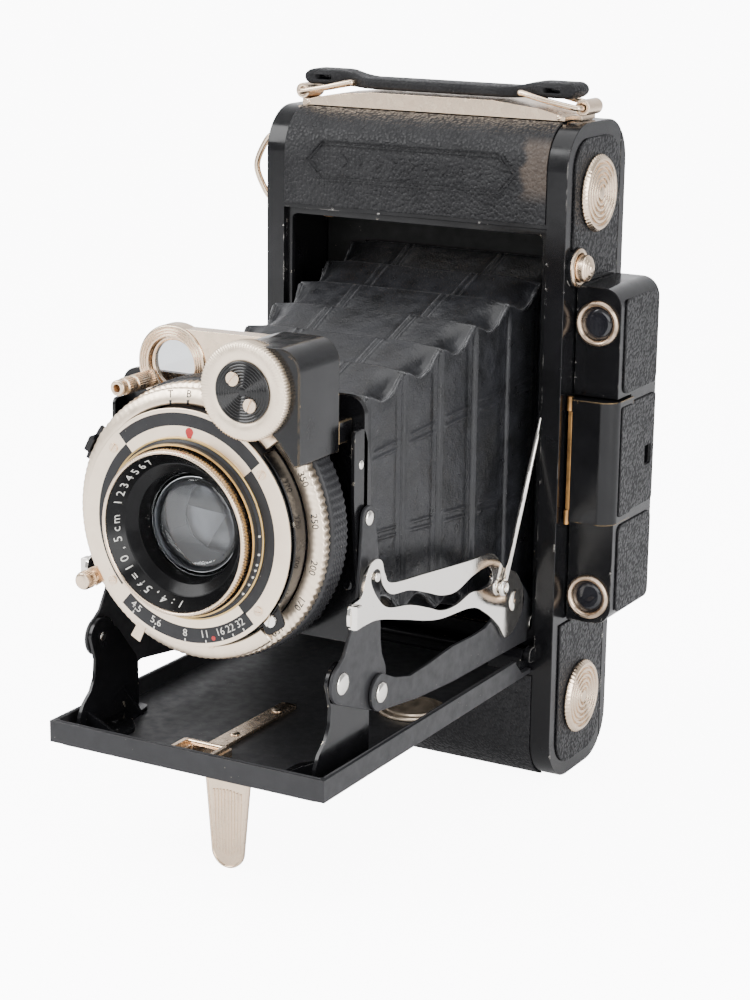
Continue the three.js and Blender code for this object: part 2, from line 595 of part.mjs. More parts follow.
// ---------- bed ----------
function bedPlate() {
  const b = BED;
  const inner = b.half - b.wall;
  const rim = box(-b.half, b.half, b.front, b.rimEnd, b.floorLow, b.rim)
    .subtract(box(-inner, inner, b.front + b.wall, FAR, b.floor, FAR));
  const knuckle = plate('X', outline([
    [-21.4, 30], [-17.2, 30], [-16.9, 33], [-17.4, 35.2], [-19.2, 35.4], [-20.2, 34],
  ]), 26, 34.5).subtract(rod('X', BED_PIVOT.y, BED_PIVOT.z, BED_PIVOT.bore, 0, FAR));
  const bracket = bedBracket();
  return box(-b.half, b.half, b.front, b.rear, b.floorLow, b.floor)
    .add(rim)
    .add(knuckle)
    .add(mirrorX(knuckle))
    .subtract(rod('Z', BUSH.x, BUSH.y, BUSH.barrel + 2 * FIT, 0, FAR))
    .add(bracket)
    .add(mirrorX(bracket))
    .add(footHinge());
}

function bedLeather() {
  const b = BED;
  const p = PAN;
  const low = [-b.half + p.inset, b.half - p.inset, b.front + p.inset, b.rear - p.rearInset];
  const high = [-b.half + p.bevel, b.half - p.bevel, b.front + p.bevel, b.rear - p.rearBevel];
  const hole = FOOT_PLATE.post + 2 * FIT;
  return frustum(low, high, p.low, p.high)
    .subtract(rod('Z', BUSH.x, BUSH.y, BUSH.barrel + 2 * FIT, 0, FAR))
    .subtract(box(-hole, hole, FOOT.y - hole, FOOT.y + hole, 0, FAR));
}

function tripodBush() {
  return rod('Z', BUSH.x, BUSH.y, BUSH.flange, BED.floor + FIT, BUSH.top, 28)
    .add(rod('Z', BUSH.x, BUSH.y, BUSH.barrel, PAN.low - 0.4, BUSH.top - LAP, 20))
    .subtract(rod('Z', BUSH.x, BUSH.y, BUSH.thread, 0, BUSH.bore));
}

function bedFoot() {
  const f = FOOT;
  const half = f.top / 2;
  const tipRadius = f.tip / 2;
  const shape = new THREE.Shape();
  shape.moveTo(half, f.z);
  shape.lineTo(-half, f.z);
  shape.lineTo(-half, f.z - f.neck);
  shape.absarc(0, tipRadius, tipRadius, Math.PI, Math.PI * 2);
  shape.lineTo(half, f.z - f.neck);
  return plate('Y', shape, f.y - f.thick / 2, f.y + f.thick / 2, 12)
    .add(rod('X', f.y, f.z, f.pin, -half, half));
}

// The foot's hinge plate, on a post that comes down through the leather.
function footHinge() {
  const p = FOOT_PLATE;
  const ear = box(p.ear, p.half, FOOT.y - p.earDeep, FOOT.y + p.earDeep, p.earLow, p.high - LAP);
  const post = box(-p.post, p.post, FOOT.y - p.post, FOOT.y + p.post, p.high - LAP, BED.floorLow + LAP);
  const base = box(-p.half, p.half, FOOT.y - p.deep, FOOT.y + p.deep, p.low, p.high);
  return base.add(ear).add(mirrorX(ear)).add(post);
}

// The right bracket of the bed, which carries the foot of a leg.
function bedBracket() {
  const { inner, front, rear, base, rib } = BRACKET;
  const shape = new THREE.Shape();
  shape.moveTo(front, BED.floor - LAP);
  shape.lineTo(rear, BED.floor - LAP);
  shape.lineTo(rear, 42);
  shape.lineTo(-98.6, 52.6);
  shape.absarc(LEG_FOOT.y, LEG_FOOT.z, 4.6, 0.2, Math.PI * 0.95);
  shape.quadraticCurveTo(-106.5, 41, -110.6, 38);
  shape.quadraticCurveTo(-113.6, 36, front, BED.floor - LAP);
  const web = outline([[inner, front], [29, front], [29, -105], [26, -108.5], [inner, -110]]);
  return sidePlate(shape, LAYER.ear, 1)
    .add(box(inner, LAYER.ear[1], front, rear, BED.floor - LAP, base))
    .add(plate('Z', web, rib, BED.rim + LAP))
    .subtract(rod('X', LEG_FOOT.y, LEG_FOOT.z, RIVET.bore, 0, FAR));
}

function bedCatch() {
  const c = CATCH;
  const spring = CATCH_SPRING;
  const low = BED.floor + FIT;
  return box(-c.half, c.half, c.front, c.rear, low, c.top)
    .subtract(box(-c.slot, c.slot, c.slotFront, c.slotRear, c.slotLow, FAR))
    .add(box(-spring.half, spring.half, spring.front, spring.rear, low, spring.top));
}

add('bed_plate', 'enamel', bedPlate());
add('bed_leather', 'leather', bedLeather());
add('tripod_bush', 'nickel', tripodBush());
add('bed_foot', 'nickel', bedFoot());
add('bed_catch', 'nickel', bedCatch());

// ---------- folding gear ----------
function leg(side) {
  const shape = new THREE.Shape();
  shape.absarc(LEG_HEAD.y, LEG_HEAD.z, 2.7, Math.PI * 0.02, Math.PI * 0.98);
  shape.lineTo(-97.6, 68);
  shape.lineTo(-102.6, 57.4);
  shape.absarc(LEG_FOOT.y, LEG_FOOT.z, 4.6, Math.PI * 0.6, Math.PI * 1.35);
  shape.absarc(LEG_CRANK.y, LEG_CRANK.z, 4.3, Math.PI * 1.35, Math.PI * 1.96);
  shape.lineTo(-84.6, 50);
  shape.lineTo(-87, 56);
  shape.lineTo(-87.4, 76);
  const face = LAYER.leg[1] - LAP;
  const headTop = LAYER.leg[1] + RIVET.tall;
  return sidePlate(shape, LAYER.leg, side)
    .add(sideRod(LEG_FOOT, RIVET.foot, LAYER.ear[0], LAYER.leg[0] + LAP, side, 16))
    .add(sideRod(LEG_FOOT, RIVET.footHead, face, headTop, side))
    .add(sideRod(LEG_HEAD, RIVET.head, face, headTop, side))
    .add(sideRod(LEG_STUD, RIVET.stud, face, LAYER.lock[0] - 2 * FIT, side));
}

function strut(side) {
  const shape = new THREE.Shape();
  shape.absarc(LEG_CRANK.y, LEG_CRANK.z, 4.3, Math.PI * 0.45, Math.PI * 1.5);
  shape.lineTo(-54.3, 37.4);
  shape.absarc(STRUT_PIVOT.y, STRUT_PIVOT.z, 4, -Math.PI * 0.55, Math.PI * 0.4);
  shape.absarc(LOCK_PIVOT.y, LOCK_PIVOT.z, 6.2, Math.PI * 0.25, Math.PI * 0.95);
  shape.quadraticCurveTo(-33.5, 45.6, -43.6, 45.8);
  shape.quadraticCurveTo(-56, 46.6, -66.5, 45.3);
  shape.quadraticCurveTo(-76, 44.4, -85.8, 48);
  return sidePlate(shape, LAYER.strut, side)
    .subtract(sideRod(STRUT_PIVOT, PIN.strut + GAP, 0, FAR, side))
    .add(sideRod(LEG_CRANK, RIVET.crank, LAYER.strut[1] - LAP, LAYER.strut[1] + RIVET.tall, side))
    .subtract(sideRod(LOCK_PIVOT, RIVET.lock + GAP, 0, FAR, side));
}

function lockLever(side) {
  const edge = smoothOutline([
    [-104, 68.9], [-99.6, 70.2], [-97.4, 74.6], [-94.4, 76.9], [-91, 76], [-89.4, 72.6],
    [-86, 69.8], [-70, 67.9], [-50, 65.7], [-37.2, 64.4], [-31, 59.4], [-23.5, 56],
    [-19.4, 49], [-22.5, 43.5], [-28.6, 41.2], [-33.4, 45.8], [-40.3, 50.6], [-48, 53.9],
    [-64.8, 55.6], [-81, 60], [-93, 63.1], [-103.4, 63.6],
  ]);
  const slot = smoothOutline([
    [-95.6, 72.4], [-94.2, 74.6], [-91.8, 74], [-90.4, 70.4], [-86.4, 67.3], [-78, 66],
    [-69.8, 63.3], [-62.7, 60.8], [-55.5, 59.9], [-47, 61.6], [-39, 61.6], [-37, 57.6],
    [-42, 56.8], [-48.1, 57.6], [-55.4, 56.6], [-62.6, 57.2], [-69.7, 59.8], [-78, 62.6],
    [-87.7, 64.6], [-92.4, 67.8],
  ]);
  const cut = [LAYER.lock[0] - 1, LAYER.lock[1] + 1];
  return sidePlate(edge, LAYER.lock, side)
    .subtract(sidePlate(slot, cut, side))
    .add(sideRod(LOCK_PIVOT, RIVET.lock, LAYER.strut[0], LAYER.lock[0] + LAP, side, 16));
}

function eyeRod(side) {
  const x = LAYER.rod * side;
  const top = new THREE.Vector3(x, ROD_TOP.y, ROD_TOP.z);
  const end = new THREE.Vector3(x, ROD_END.y, ROD_END.z);
  const along = end.clone().sub(top).normalize().multiplyScalar(ROD_WIRE.start);
  const bar = wire([top.add(along).toArray(), end.sub(along).toArray()], ROD_WIRE.r, 1);
  const [inner, outer] = [LAYER.rod - ROD_WIRE.half, LAYER.rod + ROD_WIRE.half];
  const eyes = ring('X', ROD_TOP.y, ROD_TOP.z, ROD_TOP.r, ROD_TOP.bore, inner, outer, 20)
    .add(ring('X', ROD_END.y, ROD_END.z, ROD_END.r, ROD_END.bore, inner, outer, 20));
  return (side > 0 ? eyes : mirrorX(eyes)).add(bar);
}

for (const [name, side] of SIDES) {
  add(`leg_${name}`, 'enamel', leg(side));
  add(`strut_${name}`, 'enamel', strut(side));
  add(`lock_lever_${name}`, 'chrome', lockLever(side));
  add(`spring_rod_${name}`, 'chrome', eyeRod(side));
}

// ---------- lens standard, bellows and shutter ----------
function lensStandard() {
  const board = box(-BOARD.half, BOARD.half, BOARD.front, BOARD.back, BOARD.low, BOARD.high)
    .subtract(rod('Y', 0, LENS.z, BOARD.hole, -FAR, 0, 40));
  const shape = outline([
    [-97.6, 104.4], [-96.8, 105], [-91.9, 105], [-90.2, 97], [-90.2, 80], [-92.4, 62],
    [-93.4, 62], [-96.4, 80], [-97.6, 98],
  ]);
  const ear = plate('X', shape, ...LAYER.ear).subtract(sideRod(LEG_HEAD, RIVET.bore, 0, FAR, 1));
  return board.add(ear).add(mirrorX(ear));
}

// The frustum is drawn along Z, so the bellows are turned to run along Y.
function bellowsAlongY() {
  const f = BELLOWS;
  const r = BELLOWS_BACK;
  const make = (trim, over) => {
    const low = [-f.frontHalf + trim, f.frontHalf - trim, f.frontLow + trim, f.frontHigh - trim];
    const high = [-r.half + trim, r.half - trim, r.low + trim, r.high - trim];
    return frustum(low, high, f.front - over, f.back + over);
  };
  const upright = make(0, 0).subtract(make(r.wall, 0.5));
  return upright.transform([1, 0, 0, 0, 0, 0, 1, 0, 0, 1, 0, 0, 0, 0, 0, 1]);
}

add('lens_standard', 'enamel', lensStandard());
add('bellows', 'bellows', bellowsAlongY());

function polar(radius, degrees) {
  const angle = THREE.MathUtils.degToRad(degrees);
  return [radius * Math.cos(angle), LENS.z + radius * Math.sin(angle)];
}

// The shutter housing: a drum with a threaded tail through the lens standard.
function shutterCase() {
  const s = SHUTTER;
  const boardFace = BOARD.front - FIT;
  return turned(0, LENS.z, [
    [s.bore, s.tail], [s.neck, s.tail], [s.neck, boardFace], [s.waist, boardFace], [s.waist, s.step],
    [s.r, s.step], [s.r, s.front], [s.bore, s.front], [s.bore, s.tail],
  ], 32);
}

function knurledRing({ outer, inner, depth, ridges, front, back }) {
  return plate('Y', toothed(0, LENS.z, outer, depth, ridges), front, back)
    .subtract(rod('Y', 0, LENS.z, inner, front - 1, back + 1, 32));
}

function lensBarrel() {
  const { front, rim, lip, barrel, bore, hood, long } = LENS;
  const shoulder = LENS_SHOULDER;
  const outside = [
    [lip, front + LENS_LIP.inside], [rim - LENS_LIP.round, front], [rim, front + LENS_LIP.round],
    [rim, front + hood], [shoulder.r, front + hood], [shoulder.r, front + shoulder.deep],
    [barrel, front + shoulder.deep], [barrel, front + long], [bore, front + long],
  ];
  const funnel = LENS_FUNNEL.map(([radius, deep]) => [radius, front + deep]).reverse();
  return turned(0, LENS.z, [...outside, ...funnel, outside[0]], 32);
}

// A lens: two spherical faces with the given bulges, ground to a cylinder between them.
function lensGlass({ r: radius, front, edge, frontBulge, backBulge }) {
  const profile = [];
  const steps = 2;
  for (let i = 0; i <= steps; i += 1) {
    const r = (radius * i) / steps;
    profile.push([r, front - frontBulge * (1 - (i / steps) ** 2)]);
  }
  for (let i = steps; i >= 0; i -= 1) {
    const r = (radius * i) / steps;
    profile.push([r, front + edge + backBulge * (1 - (i / steps) ** 2)]);
  }
  return turned(0, LENS.z, profile, 20);
}

// A tab that stands out from the shutter at an angle round the lens axis.
function lensTab({ reach, width, angle, front, back }, root = TAB_ROOT) {
  const tab = box(root, reach, front, back, -width / 2, width / 2);
  return tab.rotate([0, -angle, 0]).translate([0, 0, LENS.z]);
}

function apertureLever() {
  const a = APERTURE;
  return ring('Y', 0, LENS.z, a.outer, a.inner, a.front, a.back).add(lensTab(a, a.outer - 1.1));
}

function cockingLever() {
  const c = COCKING;
  const [x, z] = polar(c.reach, c.angle);
  return lensTab(c).add(rod('Y', x, z, c.post, c.postFront, c.back, 20));
}

function cableSocket() {
  const s = SOCKET;
  const [x, z] = polar(s.reach, s.angle);
  return rod('Y', x, z, s.r, s.end, s.back - LAP)
    .add(lensTab({ ...s, reach: s.reach + s.r - GAP }))
    .subtract(rod('Y', x, z, s.bore, -FAR, s.deep, 12));
}

function finderWheel() {
  const w = FINDER_WHEEL;
  const hub = WHEEL_HUB;
  return plate('Y', toothed(w.x, w.z, w.r, w.depth, w.teeth), w.front, w.back)
    .add(rod('Y', w.x, w.z, hub.dial, w.front - hub.proud, w.front + LAP, 20))
    .add(rod('Y', w.x, w.z, hub.shaft, w.front + LAP, hub.tail, 20));
}

// The rangefinder turret: a rounded drum beside the shutter, hollowed where the lens rings pass.
function turret() {
  const t = TURRET;
  const { x, z } = FINDER_WHEEL;
  const { inner, low, high } = TURRET_FOOT;
  const shape = new THREE.Shape();
  shape.moveTo(t.right, t.low);
  shape.lineTo(t.right, z + t.r - t.corner);
  shape.absarc(t.right - t.corner, z + t.r - t.corner, t.corner, 0, Math.PI / 2);
  shape.absarc(x, z, t.r, Math.PI / 2, Math.PI * 1.1);
  shape.lineTo(x + 2, t.low - 3);
  return plate('Y', shape, t.front, t.back, 14)
    .subtract(rod('Y', 0, LENS.z, FOCUS_WHEEL.outer + 2 * GAP, -FAR, 0, 40))
    .subtract(rod('Y', x, z, WHEEL_HUB.bore, -FAR, -108, 20))
    .add(box(inner, t.right, t.back - LAP, BOARD.front - FIT, low, high));
}

function finderArm() {
  const w = WEDGE;
  const { x, z } = FINDER_WHEEL;
  const shape = outline([
    [x, z - ARM.hubLow], [x, z + ARM.hub], [w.x, w.z + ARM.frameHigh], [w.x, w.z - ARM.frameLow],
  ]);
  return plate('Y', shape, w.front, w.back)
    .add(rod('Y', x, z, ARM.hub, w.front, w.back, 20))
    .add(rod('Y', w.x, w.z, w.outer, w.front, w.back, 28))
    .subtract(rod('Y', w.x, w.z, w.inner + FIT, w.front - 1, w.back + 1, 24));
}

function lensRing({ outer, inner, front, back }, sides) {
  return ring('Y', 0, LENS.z, outer, inner, front, back, sides);
}

add('shutter_case', 'enamel', shutterCase());
add('shutter_front_plate', 'nickel', lensRing(FACE, 40));
add('speed_ring', 'nickel', lensRing(SPEED_RING, 36));
add('distance_scale_ring', 'nickel', knurledRing(SCALE_RING));
add('focus_wheel', 'enamel', knurledRing(FOCUS_WHEEL));
add('lens_barrel', 'nickel', lensBarrel());
add('front_lens', 'glass', lensGlass(FRONT_GLASS));
add('rear_lens', 'glass', lensGlass(REAR_GLASS));
add('iris_blades', 'enamel', lensRing(IRIS, 10));
add('aperture_lever', 'nickel', apertureLever());
add('cocking_lever', 'nickel', cockingLever());
add('release_lever', 'enamel', lensTab(RELEASE));
add('cable_release_socket', 'nickel', cableSocket());
add('finder_wheel', 'nickel', finderWheel());
add('finder_turret', 'enamel', turret());
add('finder_arm', 'nickel', finderArm());
add('wedge_prism', 'glass', rod('Y', WEDGE.x, WEDGE.z, WEDGE.inner, WEDGE.glassFront, WEDGE.glassBack, 24));

export default camera;
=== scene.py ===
# Looks of the folding camera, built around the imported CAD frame.
# Shapes are written in millimetres in the frame's own axes and scaled to metres when a piece is made.
import math

import bmesh
import bpy
from mathutils import Matrix, Vector
from mathutils.geometry import tessellate_polygon


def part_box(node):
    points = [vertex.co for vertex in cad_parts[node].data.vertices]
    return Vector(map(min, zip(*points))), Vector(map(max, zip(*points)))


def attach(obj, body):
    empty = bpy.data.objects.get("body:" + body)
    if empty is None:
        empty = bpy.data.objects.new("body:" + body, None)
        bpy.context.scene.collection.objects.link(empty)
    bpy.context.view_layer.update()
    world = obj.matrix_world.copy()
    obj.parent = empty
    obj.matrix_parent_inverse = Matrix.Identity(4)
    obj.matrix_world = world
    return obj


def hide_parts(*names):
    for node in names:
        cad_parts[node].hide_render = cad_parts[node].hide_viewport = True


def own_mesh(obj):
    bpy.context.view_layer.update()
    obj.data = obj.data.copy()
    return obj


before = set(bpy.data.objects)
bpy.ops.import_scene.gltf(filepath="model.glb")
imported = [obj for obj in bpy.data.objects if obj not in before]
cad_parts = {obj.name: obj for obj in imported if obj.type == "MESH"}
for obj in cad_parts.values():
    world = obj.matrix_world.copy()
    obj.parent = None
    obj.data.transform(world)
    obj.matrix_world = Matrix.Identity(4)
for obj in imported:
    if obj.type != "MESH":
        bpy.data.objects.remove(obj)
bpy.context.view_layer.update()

MM = 0.001
TAU = math.tau
SIDES = (("right", 1), ("left", -1))


# ---------- sizes taken from the frame ----------
class Span:
    """The box of a CAD node in millimetres."""

    def __init__(self, node):
        low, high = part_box(node)
        self.x0, self.y0, self.z0 = (v / MM for v in low)
        self.x1, self.y1, self.z1 = (v / MM for v in high)
        self.x, self.y, self.z = ((a + b) / 2 for a, b in zip(low / MM, high / MM))


BACK = Span("back_cover")
BODY_HALF = BACK.x1
LEATHER_THICK = 0.5
SKIN_LIFT = 0.02  # keeps a glued skin clear of the metal under it
BODY_FRONT = Span("front_leather_top").y0 + LEATHER_THICK
BODY_BACK = BACK.y1
DOOR_GAP = 0.3
BODY_JOIN = BACK.y0 - DOOR_GAP
BODY_TOP = Span("front_leather_top").z1 - LEATHER_THICK
CORNER = 11.0
WALL = 1.6
MOUTH = {"half": 36.15, "low": 34.4, "high": 138.6}
LENS_Z = Span("front_lens").z
SPOOL_Y = Span("takeup_spool").y
SPOOL_HIGH = Span("takeup_spool").z
SPOOL_LOW = Span("supply_spool").z
BED = Span("bed_plate")
BED_FLOOR = 30.4
BED_RIM = 34.4
# pivots of the folding gear, in (y, z)
LEG_FOOT = (-103.7, 51.35)
LEG_HEAD = (-92.9, 85.7)
LEG_CRANK = (-88.5, 45.1)
LEG_STUD = (-93.6, 73.0)
STRUT_PIVOT = (-12.0, 40.4)
LOCK_PIVOT = (-24.6, 49.7)
ROD_TOP = (-5.6, 112.0)
ROD_END = (-32.3, 54.8)

WHEEL = Span("finder_wheel")
WEDGE = Span("wedge_prism")
HOUSING = Span("rangefinder_housing")
COVER = Span("finder_cover")
COVER_GAP = 0.3
WINDOW_X = 47.1
WINDOWS = (("top", 116.4), ("bottom", 48.7))
EYEPIECE = (WINDOW_X, WINDOWS[0][1])
FINDER_EYE = (WINDOW_X, 83.0)

# the gear's layers on the right side, in x
LEG_LAYER = (31.5, 32.3)
STRUT_LAYER = (32.6, 33.4)
LEVER_LAYER = (33.7, 34.5)
ROD_X = 35.3
BRACKET_PLATE = (30.4, 31.2)

DRUM_FRONT = -114.2
COLLAR_BACK = -115.2
FRONT_RINGS_BORE = 26.45  # the speed ring, the scale and the focusing wheel run on this radius
KNOB_SEAT = BODY_HALF + 0.75
BED_BACK = -17.2
BED_UNDER = 29.3
HINGE = (-18.3, 34)
BUSH_HOLE = 5.7

BELOW, ABOVE = -10, BODY_TOP + 10  # heights past the body's ends
SHARP = math.radians(60)
FAR = 300.0  # how far a cutting block reaches past the camera


# ---------- outlines ----------
def arc(cu, cv, r, start, stop, steps=10):
    """Points of a circle's arc, with angles in degrees."""
    angles = [math.radians(start + (stop - start) * i / steps) for i in range(steps + 1)]
    return [(cu + r * math.cos(a), cv + r * math.sin(a)) for a in angles]


def circle(cu, cv, r, steps=48):
    """Points of a whole circle."""
    return arc(cu, cv, r, 0, 360, steps)[:-1]


def rounded(u0, u1, v0, v1, r, steps=8):
    """A rectangle with rounded corners."""
    points = arc(u1 - r, v0 + r, r, -90, 0, steps) + arc(u1 - r, v1 - r, r, 0, 90, steps)
    points += arc(u0 + r, v1 - r, r, 90, 180, steps) + arc(u0 + r, v0 + r, r, 180, 270, steps)
    return points


def hump(value, middle, width):
    """A smooth bump that is 1 at the middle."""
    return math.exp(-(((value - middle) / width) ** 2))


def catmull_rom(p0, p1, p2, p3, t):
    """The point at a share t of the way from p1 to p2, on a curve through all four."""
    bend = 2 * p0 - 5 * p1 + 4 * p2 - p3
    twist = 3 * p1 - p0 - 3 * p2 + p3
    return 0.5 * (2 * p1 + (p2 - p0) * t + bend * t * t + twist * t**3)


def smooth_loop(points, steps=6):
    """A closed, smooth curve through 2-D points."""
    n = len(points)
    out = []
    for i in range(n):
        nearby = [Vector(points[(i + k) % n]) for k in (-1, 0, 1, 2)]
        for s in range(steps):
            spot = catmull_rom(*nearby, s / steps)
            out.append((spot.x, spot.y))
    return out


def smooth_path(points, steps=8):
    """An open, smooth curve through 3-D points."""
    pts = [Vector(p) for p in points]
    pts = [2 * pts[0] - pts[1]] + pts + [2 * pts[-1] - pts[-2]]
    out = []
    for nearby in zip(pts, pts[1:], pts[2:], pts[3:]):
        out += [catmull_rom(*nearby, s / steps) for s in range(steps)]
    out.append(pts[-2])
    return out


def soften(points, r, steps=4):
    """The polygon with each corner rounded."""
    out = []
    n = len(points)
    for i in range(n):
        before, here, after = (Vector(points[(i + k) % n]) for k in (-1, 0, 1))
        reach = min(r, (before - here).length / 2.2, (after - here).length / 2.2)
        a = here + (before - here).normalized() * reach
        b = here + (after - here).normalized() * reach
        for s in range(steps + 1):
            t = s / steps
            spot = a * (1 - t) ** 2 + here * 2 * t * (1 - t) + b * t * t
            out.append((spot.x, spot.y))
    return out


# ---------- solids ----------
def add_object(name, data):
    """A new object in the scene."""
    obj = bpy.data.objects.new(name, data)
    bpy.context.scene.collection.objects.link(obj)
    return obj


def mesh_object(name, bm):
    """A new object with the solid as its mesh. The solid is used up."""
    mesh = bpy.data.meshes.new(name)
    bm.to_mesh(mesh)
    bm.free()
    return add_object(name, mesh)


def bridge(bm, rings, closed=False):
    """Joins each ring of points to the next with four-sided faces."""
    pairs = list(zip(rings, rings[1:]))
    if closed:
        pairs.append((rings[-1], rings[0]))
    for low, high in pairs:
        for i in range(len(low)):
            j = (i + 1) % len(low)
            bm.faces.new([low[i], low[j], high[j], high[i]])


def on_axis(axis, u, v, s):
    """A point at station s along an axis, with (u, v) across it."""
    if axis == "X":
        return Vector((s, u, v))
    if axis == "Y":
        return Vector((u, s, v))
    return Vector((u, v, s))


def lathe(bm, axis, centre, profile, steps=96, ripple=None):
    """Turns [radius, station] points about an axis. ripple = (least radius, depth, count) cuts a knurl."""
    cu, cv = centre
    rings = []
    for r, s in profile:
        if r < 1e-6:
            rings.append([bm.verts.new(on_axis(axis, cu, cv, s))])
            continue
        ring = []
        for i in range(steps):
            a = TAU * i / steps
            reach = r
            if ripple and r >= ripple[0]:
                reach -= ripple[1] * (0.5 + 0.5 * math.cos(ripple[2] * a))
            ring.append(bm.verts.new(on_axis(axis, cu + reach * math.cos(a), cv + reach * math.sin(a), s)))
        rings.append(ring)
    pairs = list(zip(rings, rings[1:]))
    if len(rings[0]) > 1 and len(rings[-1]) > 1:
        pairs.append((rings[-1], rings[0]))
    for low, high in pairs:
        for i in range(steps):
            j = (i + 1) % steps
            quad = [low[i % len(low)], low[j % len(low)], high[j % len(high)], high[i % len(high)]]
            corners = list(dict.fromkeys(quad))
            if len(corners) > 2:
                bm.faces.new(corners)
    return bm


def prism(bm, axis, outer, start, stop, holes=()):
    """An outline pushed along an axis, with holes through it."""
    loops = [list(outer)] + [list(h) for h in holes]
    ends = []
    for station in (start, stop):
        ends.append([[bm.verts.new(on_axis(axis, u, v, station)) for u, v in loop] for loop in loops])
    for low, high in zip(*ends):
        bridge(bm, (low, high))
    if not holes:
        for end in ends:
            bm.faces.new(end[0])
        return bm
    flat = [[Vector((u, v, 0)) for u, v in loop] for loop in loops]
    triangles = tessellate_polygon(flat)
    for end in ends:
        corners = [v for loop in end for v in loop]
        for tri in triangles:
            bm.faces.new([corners[i] for i in tri])
    return bm


def block(bm, x0, x1, y0, y1, z0, z1):
    """A box between two corners."""
    return prism(bm, "Z", [(x0, y0), (x1, y0), (x1, y1), (x0, y1)], z0, z1)


def slab(x0=-FAR, x1=FAR, y0=-FAR, y1=FAR, z0=-FAR, z1=FAR):
    """A cutting block that runs past the camera on every side that isn't given."""
    return block(bmesh.new(), x0, x1, y0, y1, z0, z1)


def drill(axis, u, v, r, start, stop, steps=64):
    """A round cutting tool."""
    return prism(bmesh.new(), axis, circle(u, v, r, steps), start, stop)


def round_edges(bm, width, inner=-FAR):
    """Rounds a solid's sharp edges, other than those at or below x = inner."""
    sharp = []
    for edge in bm.edges:
        a, b = edge.verts
        if abs(edge.calc_face_angle(0)) > SHARP and (a.co.x + b.co.x) / 2 > inner:
            sharp.append(edge)
    bmesh.ops.bevel(bm, geom=sharp, offset=width, segments=3, profile=0.6, affect="EDGES")
    return bm


def tube(bm, points, r, sides=16, closed=False):
    """A round wire through 3-D points."""
    path = [Vector(p) for p in points]
    n = len(path)
    rings = []
    normal = None
    for i, here in enumerate(path):
        after = path[(i + 1) % n] if closed or i < n - 1 else here
        before = path[i - 1] if closed or i > 0 else here
        along = (after - before).normalized()
        if normal is None:
            normal = along.orthogonal().normalized()
        normal = (normal - along * normal.dot(along)).normalized()
        side = along.cross(normal)
        ring = []
        for k in range(sides):
            a = TAU * k / sides
            ring.append(bm.verts.new(here + (normal * math.cos(a) + side * math.sin(a)) * r))
        rings.append(ring)
    bridge(bm, rings, closed)
    if not closed:
        bm.faces.new(rings[0])
        bm.faces.new(rings[-1])
    return bm


def screw(bm, axis, centre, station, out, r, height=0.5, angle=30):
    """A slotted screw head: a low disc that carries two half-moons. out is +1 or -1 along the axis."""
    cu, cv = centre
    base = station + out * height * 0.45
    top = station + out * height
    lathe(bm, axis, centre, [(0, station), (r, station), (r, base), (0, base)], 32)
    half_slot = r * 0.14
    lean = math.degrees(math.asin(half_slot / r))
    for turn in (0, 180):
        moon = arc(0, 0, r, lean, 180 - lean, 18)
        spin = math.radians(angle + turn)
        cos, sin = math.cos(spin), math.sin(spin)
        moon = [(cu + u * cos - v * sin, cv + u * sin + v * cos) for u, v in moon]
        prism(bm, axis, moon, *sorted((base - out * 0.02, top)))
    return bm


def rivet(bm, axis, centre, station, out, r, height):
    """A low domed rivet head."""
    rim, dome = height * 0.4, height * 0.6
    profile = [(0, station), (r, station), (r, station + out * rim)]
    profile += [(r * math.cos(a), station + out * (rim + dome * math.sin(a))) for a in (0.5, 0.9, 1.25)]
    profile.append((0, station + out * height))
    return lathe(bm, axis, centre, profile, 32)


def mirrored(bm):
    """Flips a solid to the other side of the middle plane."""
    bmesh.ops.scale(bm, vec=(-1, 1, 1), verts=bm.verts)
    bmesh.ops.reverse_faces(bm, faces=bm.faces)
    return bm


def cut(bm, *tools):
    """Takes solids away from another with exact booleans."""
    objects = []
    for part in (bm, *tools):
        bmesh.ops.recalc_face_normals(part, faces=part.faces)
        objects.append(mesh_object("cutting", part))
    for tool in objects[1:]:
        change = objects[0].modifiers.new("cut", "BOOLEAN")
        change.operation = "DIFFERENCE"
        change.solver = "EXACT"
        change.object = tool
    result = bmesh.new()
    result.from_object(objects[0], bpy.context.evaluated_depsgraph_get())
    for obj in objects:
        bpy.data.objects.remove(obj)
    return result


def piece(name, bm, look, body, replaces=(), bevel=0.12):
    """Makes a named piece of the camera from a solid in millimetres and hangs it on a body."""
    bmesh.ops.remove_doubles(bm, verts=bm.verts, dist=2e-4)
    bmesh.ops.recalc_face_normals(bm, faces=bm.faces)
    bmesh.ops.scale(bm, vec=(MM, MM, MM), verts=bm.verts)
    obj = mesh_object(name, bm)
    obj.data.materials.append(look)
    obj.data.shade_smooth()
    if bevel:
        edge = obj.modifiers.new("edge", "BEVEL")
        edge.width = bevel * MM
        edge.segments = 2
        edge.limit_method = "ANGLE"
        edge.angle_limit = math.radians(34)
        flat = obj.modifiers.new("flat", "WEIGHTED_NORMAL")
        flat.weight = 80
    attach(obj, body)
    if replaces:
        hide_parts(*replaces)
    return obj


def lettering(bm, words, size, spot, right, up, depth=0.04):
    """Raised characters whose middle lies at spot."""
    curve = bpy.data.curves.new("lettering", "FONT")
    curve.body = words
    curve.size = size
    curve.extrude = depth / 2
    curve.align_x = "CENTER"
    curve.align_y = "CENTER"
    curve.resolution_u = 3
    obj = add_object("lettering", curve)
    mesh = bpy.data.meshes.new_from_object(obj.evaluated_get(bpy.context.evaluated_depsgraph_get()))
    right, up = Vector(right).normalized(), Vector(up).normalized()
    turn = Matrix((right, up, right.cross(up))).transposed().to_4x4()
    turn.translation = Vector(spot)
    mesh.transform(turn)
    bm.from_mesh(mesh)
    bpy.data.objects.remove(obj)
    bpy.data.meshes.remove(mesh)
    return bm


